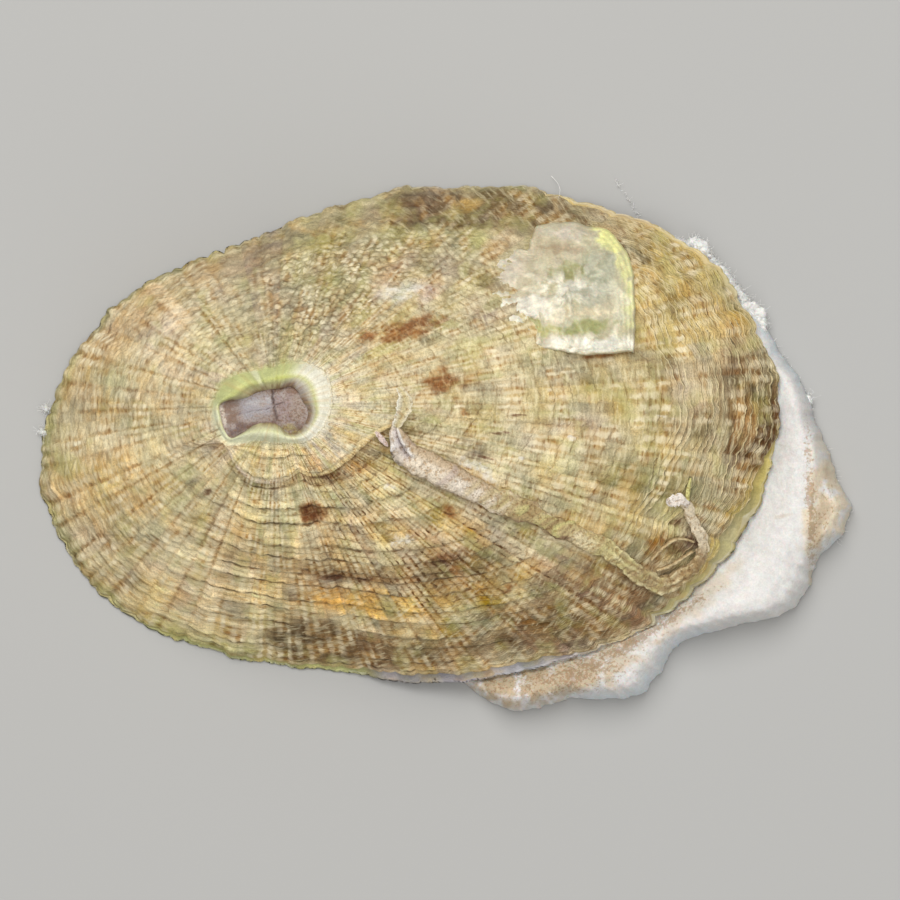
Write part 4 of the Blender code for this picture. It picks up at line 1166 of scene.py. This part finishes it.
def buildWormTube():
    sizes = tubeSizes
    share = np.linspace(0, 1, sizes["rings"])
    x, y = alongLine(smoothLine(sizes["route"], False), share, False).T
    stray = 0.12 * ease(0.3, 0.45, share) * ease(1.0, 0.9, share)  # it wanders a little lower down
    x, y = x + stray * cloud(x, y, 0.8, 72), y + stray * cloud(x, y, 0.8, 73)
    profiles = ("halfWidth", "halfHeight", "lift")
    wide, high, lift = (np.interp(share, *np.transpose(sizes[key])) for key in profiles)
    path, up = overShell(x, y, 0.08 + lift * high)
    around = np.linspace(0, fullTurn, sizes["sides"] + 1)[None]
    degrees = np.degrees(around)
    travelled = (share * np.linalg.norm(np.diff(path, axis=0), axis=1).sum())[:, None]
    at = share[:, None]
    grown, keeled = ease(0.26, 0.34, at), ease(0.5, 0.64, at)
    px, py = travelled + 0.3 * np.cos(around), 0.6 * np.sin(around)
    keels = sum(
        np.exp(-((degrees - keel - 12 * cloud(travelled, 0, 0.7, keel)) / 13) ** 2)
        * np.clip(0.6 + 0.9 * cloud(travelled, 0, 0.9, keel + 1), 0, 1.2)
        for keel in sizes["ridges"]
    )
    swell = 1 + 0.014 * np.sin(travelled * fullTurn / 0.17) * (1 - grown) + 0.07 * cloud(px, py, 0.25, 81)
    swell = swell + cloud(px, py, 0.6, 82) * mix(0.07, 0.34, grown * (1 - keeled))
    swell = swell + (0.32 * keels - 0.12) * keeled
    swell = swell + (0.2 * cloud(px, py * 0.4, 0.3, 80) + 0.16 * cloud(px, py, 0.9, 75)) * keeled
    middle, half = (sizes["tearFrom"] + sizes["tearTo"]) / 2, (sizes["tearTo"] - sizes["tearFrom"]) / 2
    span = window(travelled, middle, half - 0.25, 0.3)
    width = sizes["tearHalf"] + 9 * cloud(travelled, 0 * travelled, 0.45, 83)
    tear = span * ease(width + 5, width - 7, np.abs(degrees - sizes["tearAt"]))
    lips = span * np.exp(-((np.abs(degrees - sizes["tearAt"]) - width - 4) / 7) ** 2)
    swell = (swell + 0.3 * lips) * (1 - 1.35 * tear)

    shape = swell.shape
    colour = np.broadcast_to(np.array((0.76, 0.65, 0.50)), shape + (3,))
    grown = ease(0.24, 0.36, at + 0.05 * cloud(px, py, 0.5, 79))
    young, middleAged = 1 - grown, grown * (1 - keeled)
    # the low sides and underside of the tube, for painted shade where it meets the shell
    foot = ease(0.55, 0.1, np.sin(around) + 0.35 * cloud(px, py, 0.35, 78))
    for mask, tint in (
        (young * ease(0.0, 0.8, cloud(px, py, 0.5, 84)) * 0.6, (0.74, 0.66, 0.56)),
        (young * window(degrees, 150, 30, 30) * 0.75, (0.50, 0.36, 0.21)),
        (young * ease(0.2, 0.9, cloud(px, py, 0.7, 85)) * 0.6, (0.50, 0.39, 0.34)),
        (grown, (0.54, 0.43, 0.21)),
        (middleAged * ease(0.0, 0.7, cloud(px, py, 0.9, 86)) * 0.7, (0.48, 0.45, 0.17)),
        (middleAged * ease(0.1, 0.6, cloud(px, py, 0.45, 87)) * 0.8, (0.72, 0.61, 0.40)),
        (middleAged * ease(0.1, 0.5, cloud(px, py, 0.35, 77)) * 0.75, (0.32, 0.21, 0.10)),
        # a dark line along the lower side: painted shadow
        (middleAged * window(degrees, 10, 14, 14) * ease(0.5, 0.46, at) * 0.85, (0.20, 0.12, 0.06)),
        (window(at, 0.478, 0.008, 0.008) * window(degrees, 25, 22, 15) * 0.9, (0.22, 0.13, 0.07)),
        (window(at, 0.52, 0.02, 0.02) * window(degrees, 60, 40, 20) * 0.7, (0.70, 0.60, 0.38)),
        (keeled * ease(0.78, 0.7, at) * 0.8, (0.60, 0.56, 0.24)),
        (keeled * ease(0.68, 0.78, at) * 0.6, (0.44, 0.31, 0.14)),
        (keeled * ease(0.0, 0.6, cloud(px, py, 0.4, 76)) * 0.6, (0.62, 0.52, 0.32)),
        (keeled * keels * (0.35 + 0.4 * cloud(px, py, 0.6, 74)).clip(0.1, 0.8), (0.78, 0.70, 0.46)),
        # darker between the keels: painted shade in the grooves
        (keeled * (1 - keels) ** 2 * window(degrees, 90, 85, 20) * 0.75, (0.26, 0.16, 0.07)),
        (grown * ease(0.2, 0.6, cloud(px, py, 0.3, 107)) * 0.55, (0.34, 0.23, 0.10)),
        (ease(0.82, 0.9, at) * 0.75, (0.76, 0.66, 0.49)),
        (tear, (0.50, 0.44, 0.46)),
        # darker down inside the tear: painted shade
        (tear * window(travelled, 1.5, 0.25, 0.35) * 0.8, (0.20, 0.14, 0.15)),
        (lips * 0.9, (0.84, 0.80, 0.75)),
        # painted shade round the foot
        (foot * (1 - tear) * 0.7, (0.36, 0.26, 0.14)),
    ):
        colour = tinted(colour, tint, mask * np.ones(shape))
    rings = sweptPoints(path, up, wide[:, None] * swell, high[:, None] * swell, around)
    tube = skinOf("chalky_worm_tube", path, rings, colour)
    creamBrown, brownEdge = (0.54, 0.43, 0.24), (0.36, 0.25, 0.12)
    scraps = [
        scrap("tube_flap", tubeFlap, 0.05, 0.5, (0.56, 0.46, 0.24), (0.88, 0.84, 0.70)),
        scrap("tube_chip", tubeChip, 0.07, 0.0, (0.66, 0.52, 0.46), (0.74, 0.62, 0.55)),
        scrap("tube_flake", tubeFlake, 0.05, 0.15, (0.70, 0.62, 0.54), (0.80, 0.74, 0.66)),
        scrap("tube_spike", tubeSpike, 0.09, 0.0, (0.50, 0.46, 0.17), (0.56, 0.52, 0.22)),
        scrap("tube_rib", tubeRib, 0.12, 0.0, creamBrown, brownEdge),
        scrap("tube_crease", tubeCrease, 0.12, 0.0, creamBrown, brownEdge),
    ]
    joinInto(tube, scraps)
    n = Nodes("chalky tube")
    fine = n.noise(0.1, 3.0, rough=0.7)
    colour = n.mix(1.0, n.paint("paint"), n.between(fine, 0.25, 0.75, 0.72, 1.26), "MULTIPLY")
    grit = n.between(n.noise(0.22, 3.0), 0.52, 0.66)
    colour = n.mix(n.times(grit, 0.6), colour, (0.60, 0.42, 0.24, 1), "MULTIPLY")
    height = n.sum("MULTIPLY_ADD", grit, -0.6, fine)
    n.set(Base_Color=colour, Roughness=0.62, Normal=n.bump(height, 0.07, 0.8), Specular_IOR_Level=0.3)
    settle(tube, "worm_tube", n.material)


# Pale crust
crustSizes = {
    "edge": (
        (1.0, -12.9), (3.1, -14.1), (6.2, -13.6), (10.2, -13.3), (11.4, -12.2), (12.2, -10.9), (13.3, -10.2),
        (16.1, -9.5), (18.5, -8.7), (19.7, -7.2), (20.3, -5.7), (21.5, -4.6), (21.9, -3.3), (21.2, -1.6),
        (20.4, 0.6), (19.6, 2.8), (18.2, 5.2), (16.7, 7.4), (15.0, 9.1), (14.0, 10.8), (12.4, 11.8),
    ),
    "rows": 620,
    "topColumns": 84,
    "bottomColumns": 20,
    "tuck": 2.4,
    "swell": 0.95,
    "shoulder": 1.1,  # how far in from its edge it reaches its height
}
crustWashes = (
    ("tan outer slope", (20.8, -2.9), 3.5, 1.25, 82, (0.65, 0.56, 0.41), 0.95),
    ("browner streak on it", (20.3, -3.4), 2.0, 0.3, 84, (0.48, 0.37, 0.24), 0.7),
    ("pale top of the slope", (20.2, 0.0), 0.9, 0.5, 60, (0.68, 0.62, 0.52), 0.7),
    ("tan lower hind", (20.0, -6.4), 1.1, 0.5, 70, (0.56, 0.46, 0.32), 0.7),
    ("tan lower left", (4.6, -12.6), 3.4, 1.1, 4, (0.45, 0.35, 0.22), 0.95),
    ("tan by the margin", (8.4, -11.5), 2.6, 0.8, 22, (0.52, 0.43, 0.30), 0.8),
    ("tan near the streaks", (13.4, -8.3), 2.6, 0.6, 42, (0.58, 0.49, 0.36), 0.6),
    ("faint mark", (17.6, 0.3), 0.9, 0.06, -12, (0.50, 0.46, 0.40), 0.6),
    ("second faint mark", (18.2, -3.6), 0.5, 0.1, 10, (0.56, 0.49, 0.40), 0.6),
    ("tan upper edge", (14.8, 10.0), 1.2, 0.5, -50, (0.60, 0.52, 0.38), 0.5),
)
crustDirt = (  # brown fibrous dirt: place, half length, half width, turn in degrees, strength
    ((19.6, -2.6), 2.9, 0.2, 92, 1.1),
    ((20.6, -3.0), 2.6, 0.7, 82, 0.28),
    ((13.0, -7.6), 2.7, 0.2, 43, 1.0),
    ((11.4, -9.5), 2.8, 0.24, 32, 1.0),
    ((5.0, -12.4), 3.6, 0.9, 4, 0.5),
    ((8.6, -11.3), 2.6, 0.7, 24, 0.42),
)
crustEdgeTints = (  # where its thin edge looks bluish: place, half length, half width, turn
    ((9.6, -12.9), 2.6, 0.9, 20),
    ((13.2, -10.4), 1.6, 0.7, 30),
    ((20.6, -5.4), 0.7, 0.6, 60),
    ((18.2, 5.6), 3.0, 0.7, -58),
)


def buildCrust():
    sizes = crustSizes
    angles, edge = asSeenFrom(form["centre"], smoothLine(sizes["edge"], False))
    rows, top, bottom = sizes["rows"], sizes["topColumns"], sizes["bottomColumns"]
    along = np.linspace(0, 1, rows + 1)[:, None]
    angle = angles[0] + (angles[-1] - angles[0]) * along
    rim = reach(rimOutline, angle)
    outer = np.interp(angle, np.maximum.accumulate(angles), edge)
    ox, oy = outer * np.cos(angle), outer * np.sin(angle)
    outer = outer + 0.16 * cloud(ox, oy, 1.1, 91) + 0.07 * cloud(ox, oy, 0.35, 92)
    inner = rim - sizes["tuck"]
    taper = np.sqrt(1 - np.abs(2 * along - 1) ** 24)
    middle, half = (inner + outer) / 2, (outer - inner) / 2 * taper
    inner, outer = middle - half, middle + half
    columns = np.concatenate([np.linspace(0, 1, top + 1) ** 1.5, np.linspace(1, 0, bottom + 1)[1:]])[None]
    radius = outer + (inner - outer) * columns
    onTop = np.arange(top + bottom + 1)[None] <= top
    x, y = placeAt(angle, radius)
    out = outer - rim
    beyond = np.clip((radius - rim) / np.maximum(out, 0.3), 0, 1)
    swell = sizes["swell"] * ease(0.5, 3.0, out) * np.sin(beyond * math.pi)
    fromEdge = outer - radius
    shoulder = np.minimum(sizes["shoulder"], half) + 0.15 * cloud(x, y, 1.5, 93)
    dome = np.sqrt(np.clip(1 - (1 - np.clip(fromEdge / np.maximum(shoulder, 0.2), 0, 1)) ** 2, 0, 1))
    rough = spotMask(x, y, (20.9, -2.6), 3.2, 0.9, 78) + spotMask(x, y, (6.0, -12.6), 4.0, 1.2, 6)
    rough = np.clip(rough, 0, 1)
    height = (rimHeight(angle) - 0.12) * dome + swell * (0.4 + 0.6 * dome)
    ridge = 0.22 * spotMask(x, y, (19.6, -2.6), 3.4, 0.25, 86)
    ridge = ridge - 0.2 * spotMask(x, y, (20.6, -2.6), 3.2, 0.6, 82)
    bumps = 0.12 * cloud(x, y, 2.2, 94) + (0.02 + 0.05 * rough) * cloud(x, y, 0.45, 95, 2)
    bumps = bumps + rough * 0.09 * cloud(x, y, 0.6, 96)
    height = height + (ridge + bumps) * dome * taper
    visible = ease(rim - 0.6, rim + 0.1, radius)
    under = np.minimum(height, rimHeight(angle) - 0.1)
    height = np.maximum(mix(under, height, visible), 0.02) * taper
    height = np.where(onTop, height, 0)
    obj = gridMesh("pale_crust_mass", top + bottom, rows)
    writePoints(obj, x, y, height)
    colour = washed((0.65, 0.63, 0.60), x, y, crustWashes, 97, 0.5, 0.8)
    thin = 0.08 + sum(spotMask(x, y, *spot) for spot in crustEdgeTints)
    thin = ease(1.0, 0.0, fromEdge + 0.3 * cloud(x, y, 0.7, 99)) * np.clip(thin, 0, 1)
    colour = tinted(colour, (0.58, 0.64, 0.68), thin * 0.75)
    colour = colour * (1 + 0.06 * cloud(x, y, 1.4, 100) + 0.03 * cloud(x, y, 0.5, 98))[..., None]
    dirt = sum(strength * spotMask(x, y, *spot) for *spot, strength in crustDirt)
    dirt = dirt * (1 + 0.5 * cloud(x, y, 0.5, 102))
    writeColour(obj, "paint", colour, dirt)
    closeSeams(obj)
    n = Nodes("pale crust")
    fine = n.noise(0.1, 3.0, rough=0.7)
    grains = n.noise(0.3, 4.0, rough=0.6)
    dirt = n.paint("paint", "Alpha")
    colour = n.mix(1.0, n.paint("paint"), n.between(fine, 0.25, 0.75, 0.92, 1.08), "MULTIPLY")
    colour = n.mix(1.0, colour, n.between(grains, 0.3, 0.7, 0.93, 1.05), "MULTIPLY")
    threads = n.noise(0.17, 4.0, rough=0.65)
    specks = n.sum("ADD", n.times(dirt, 0.24), n.sum("SUBTRACT", threads, 0.5))
    specks = n.times(n.between(specks, 0.11, 0.2), n.between(dirt, 0.02, 0.2))
    colour = n.mix(n.times(specks, 0.7), colour, (0.60, 0.45, 0.31, 1), "MULTIPLY")
    height = n.sum("MULTIPLY_ADD", fine, 0.5, grains)
    height = n.times(height, n.sum("MULTIPLY_ADD", dirt, 0.8, 0.45))
    n.set(Base_Color=colour, Roughness=n.between(grains, 0.3, 0.7, 0.5, 0.75))
    n.set(Normal=n.bump(height, 0.1, 0.8), Subsurface_Weight=0.25, Subsurface_Scale=0.0006)
    settle(obj, "pale_crust", n.material)
    return lambda at: np.interp(at, angle[:, 0], outer[:, 0])


# White fluff and loose hairs
fluffSizes = {
    "segments": 40,
    "rings": 20,
    "plump": 1.55,
    "flatness": 0.8,
    "fibres": 110,  # on each clump
    "length": 0.3,
    "thickness": 0.011,
    "steps": 7,
    "edgeFibres": 260,
    "edgeFrom": -14.0,  # directions along the crust's edge in degrees
    "edgeTo": 34.0,
}
fluffClumps = (  # middle and radius
    (12.48, 11.1, 0.5, 0.14), (13.29, 10.94, 0.7, 0.25), (13.66, 10.83, 0.8, 0.32), (13.93, 10.46, 0.8, 0.27),
    (13.56, 10.4, 0.9, 0.27), (14.37, 9.97, 0.7, 0.2), (14.6, 9.7, 0.8, 0.2), (14.9, 9.38, 0.7, 0.27),
    (15.28, 8.95, 0.8, 0.22), (15.6, 8.41, 0.7, 0.27), (15.93, 8.08, 0.8, 0.22), (16.31, 7.55, 0.9, 0.32),
    (16.68, 7.22, 0.8, 0.36), (16.41, 6.9, 0.9, 0.32), (16.9, 6.74, 0.8, 0.27), (16.79, 6.41, 0.9, 0.22),
    (19.5, 2.6, 0.4, 0.16), (-21.6, 2.2, 0.15, 0.09), (-21.75, 0.9, 0.15, 0.09),
)
looseHairs = (  # points, thickness
    (((5.7, 14.75, 0.3), (6.02, 14.4, 0.5), (6.18, 13.99, 0.7), (6.1, 13.5, 0.8)), 0.02),
    (((13.4, 10.9, 0.9), (13.5, 11.3, 1.0), (13.46, 11.6, 1.1)), 0.03),
    (((-1.2, 2.88, 10.4), (-1.02, 2.4, 10.45), (-1.08, 1.85, 10.4), (-0.98, 1.28, 10.3)), 0.045),
)


def fibreMesh(name, paths, thickness):  # thin closed threads, three-sided
    count, steps = paths.shape[:2]
    along = unit(np.gradient(paths, axis=1))
    side = unit(np.cross(along, (0.0, 0.0, 1.0)) + 1e-6)
    up = np.cross(side, along)
    taper = np.linspace(1, 0.35, steps)[None, :, None, None] * np.asarray(thickness).reshape(-1, 1, 1, 1)
    turn = (np.arange(3) * fullTurn / 3)[None, None, :, None]
    points = paths[:, :, None] + (side[:, :, None] * np.cos(turn) + up[:, :, None] * np.sin(turn)) * taper
    first = (np.arange(count) * steps * 3)[:, None, None]
    ring = (np.arange(steps - 1) * 3)[None, :, None]
    k, after = np.arange(3), (np.arange(3) + 1) % 3
    here, beyond = first + ring, first + ring + 3
    walls = np.stack(np.broadcast_arrays(here + k, beyond + k, beyond + after, here + after), -1)
    start = first[:, 0] + np.array([0, 1, 2])
    end = first[:, 0] + (steps - 1) * 3 + np.array([2, 1, 0])
    faces = walls.reshape(-1, 4).tolist() + start.tolist() + end.tolist()
    mesh = bpy.data.meshes.new(name)
    mesh.from_pydata((points.reshape(-1, 3) * mm).tolist(), [], faces)
    obj = bpy.data.objects.new(name, mesh)
    bpy.context.scene.collection.objects.link(obj)
    return obj


def buildFluff(crustEdge):
    sizes = fluffSizes
    rng = np.random.default_rng(12)
    steps = np.linspace(0, 1, sizes["steps"])[None, :, None]
    parts, roots, ways = [], [], []
    for number, (x, y, z, radius) in enumerate(fluffClumps):
        obj, along, angle = ball(f"fluff_{number}", sizes["segments"], sizes["rings"])
        share = np.sin(along * math.pi)
        way = np.stack([share * np.cos(angle), share * np.sin(angle), np.cos(along * math.pi)], axis=1)
        u, v = way[:, 0] + 0.6 * way[:, 2] + 3 * number, way[:, 1] - 0.5 * way[:, 2]
        size = sizes["plump"] * radius * (1 + 0.4 * cloud(u, v, 0.6, 103) + 0.25 * cloud(u, v, 0.2, 104))
        points = np.array((x, y, z)) + way * size[:, None] * (1, 1, sizes["flatness"])
        writePoints(obj, points[:, 0], points[:, 1], np.maximum(points[:, 2], floorGap))
        bpy.ops.object.shade_smooth()
        parts.append(obj)
        picked = rng.choice(len(way), sizes["fibres"])
        picked = picked[way[picked, 2] > -0.5]
        roots.append(points[picked] - 0.1 * radius * way[picked])
        ways.append(way[picked] * (0.6 + radius))
    angle = np.radians(rng.uniform(sizes["edgeFrom"], sizes["edgeTo"], sizes["edgeFibres"]))
    radius = crustEdge(angle) - rng.uniform(0.02, 0.15, len(angle))
    x, y = form["centre"][0] + radius * np.cos(angle), form["centre"][1] + radius * np.sin(angle)
    roots.append(np.stack([x, y, rng.uniform(0.05, 0.25, len(angle))], axis=1))
    ways.append(np.stack([np.cos(angle), np.sin(angle), 0.2 + 0 * angle], axis=1) * 0.5)
    roots, ways = np.concatenate(roots), np.concatenate(ways)
    count = len(roots)
    ways = ways + rng.normal(0, 0.35, (count, 3))
    curl = rng.normal(0, 0.22, (count, 1, 3)) * np.sin(steps * rng.uniform(3, 9, (count, 1, 1)))
    length = sizes["length"] * rng.uniform(0.3, 1.2, (count, 1, 1))
    paths = roots[:, None] + length * (steps * ways[:, None] + curl)
    paths[..., 2] = np.maximum(paths[..., 2], floorGap)
    hairs = [alongLine(smoothLine(points, False), steps.ravel(), False) for points, _ in looseHairs]
    thickness = [sizes["thickness"]] * count + [thick for _, thick in looseHairs]
    fluff = fibreMesh("crust_fluff", np.concatenate([paths, hairs]), thickness)
    joinInto(fluff, parts)
    n = Nodes("white fluff")
    n.set(Base_Color=(0.90, 0.88, 0.84, 1), Roughness=0.7, Subsurface_Weight=0.12, Subsurface_Scale=0.0003)
    n.set(Normal=n.bump(n.noise(0.06, 3.0, rough=0.7), 0.06, 1.0))
    settle(fluff, None, n.material)


buildShell()
buildFilm()
buildOyster()
buildWormTube()
crustEdge = buildCrust()
buildFluff(crustEdge)
print("pieces done")


# Floor, light and camera
stageSizes = {
    "floorSize": 1.2,
    "floorColour": (0.40, 0.395, 0.38, 1),
    "cameraHeight": 0.54,
    "lens": 400,
    "aim": (0.000243, -0.000054),
}


def buildStage():
    bpy.ops.mesh.primitive_plane_add(size=stageSizes["floorSize"], location=(0, 0, -0.00002))
    floor = bpy.context.object
    floor.name = "floor"
    n = Nodes("pale floor")
    n.set(Base_Color=stageSizes["floorColour"], Roughness=0.9, Specular_IOR_Level=0.1)
    floor.data.materials.append(n.material)
    for name, place, size, power in (
        ("key", (-0.06, 0.22, 0.38), 0.30, 1.5),
        ("fill", (0.12, -0.24, 0.34), 0.40, 0.5),
        ("top", (0.0, 0.02, 0.62), 0.35, 0.8),
    ):
        bpy.ops.object.light_add(type="AREA", location=place)
        light = bpy.context.object
        light.name = name
        light.data.shape = "DISK"
        light.data.size = size
        light.data.energy = power
        light.rotation_euler = (-light.location).to_track_quat("-Z", "Y").to_euler()
    world = bpy.data.worlds.new("studio")
    world.use_nodes = True
    world.node_tree.nodes["Background"].inputs["Color"].default_value = (1, 1, 1, 1)
    world.node_tree.nodes["Background"].inputs["Strength"].default_value = 0.35
    bpy.context.scene.world = world
    bpy.context.scene.view_settings.view_transform = "Standard"
    x, y = stageSizes["aim"]
    bpy.ops.object.camera_add(location=(x, y, stageSizes["cameraHeight"]), rotation=(0, 0, 0))
    camera = bpy.context.object
    camera.data.lens = stageSizes["lens"]
    camera.data.sensor_width = 36
    camera.data.clip_start = 0.01
    bpy.context.scene.camera = camera
    bpy.ops.object.select_all(action="DESELECT")


buildStage()
print("stage done")
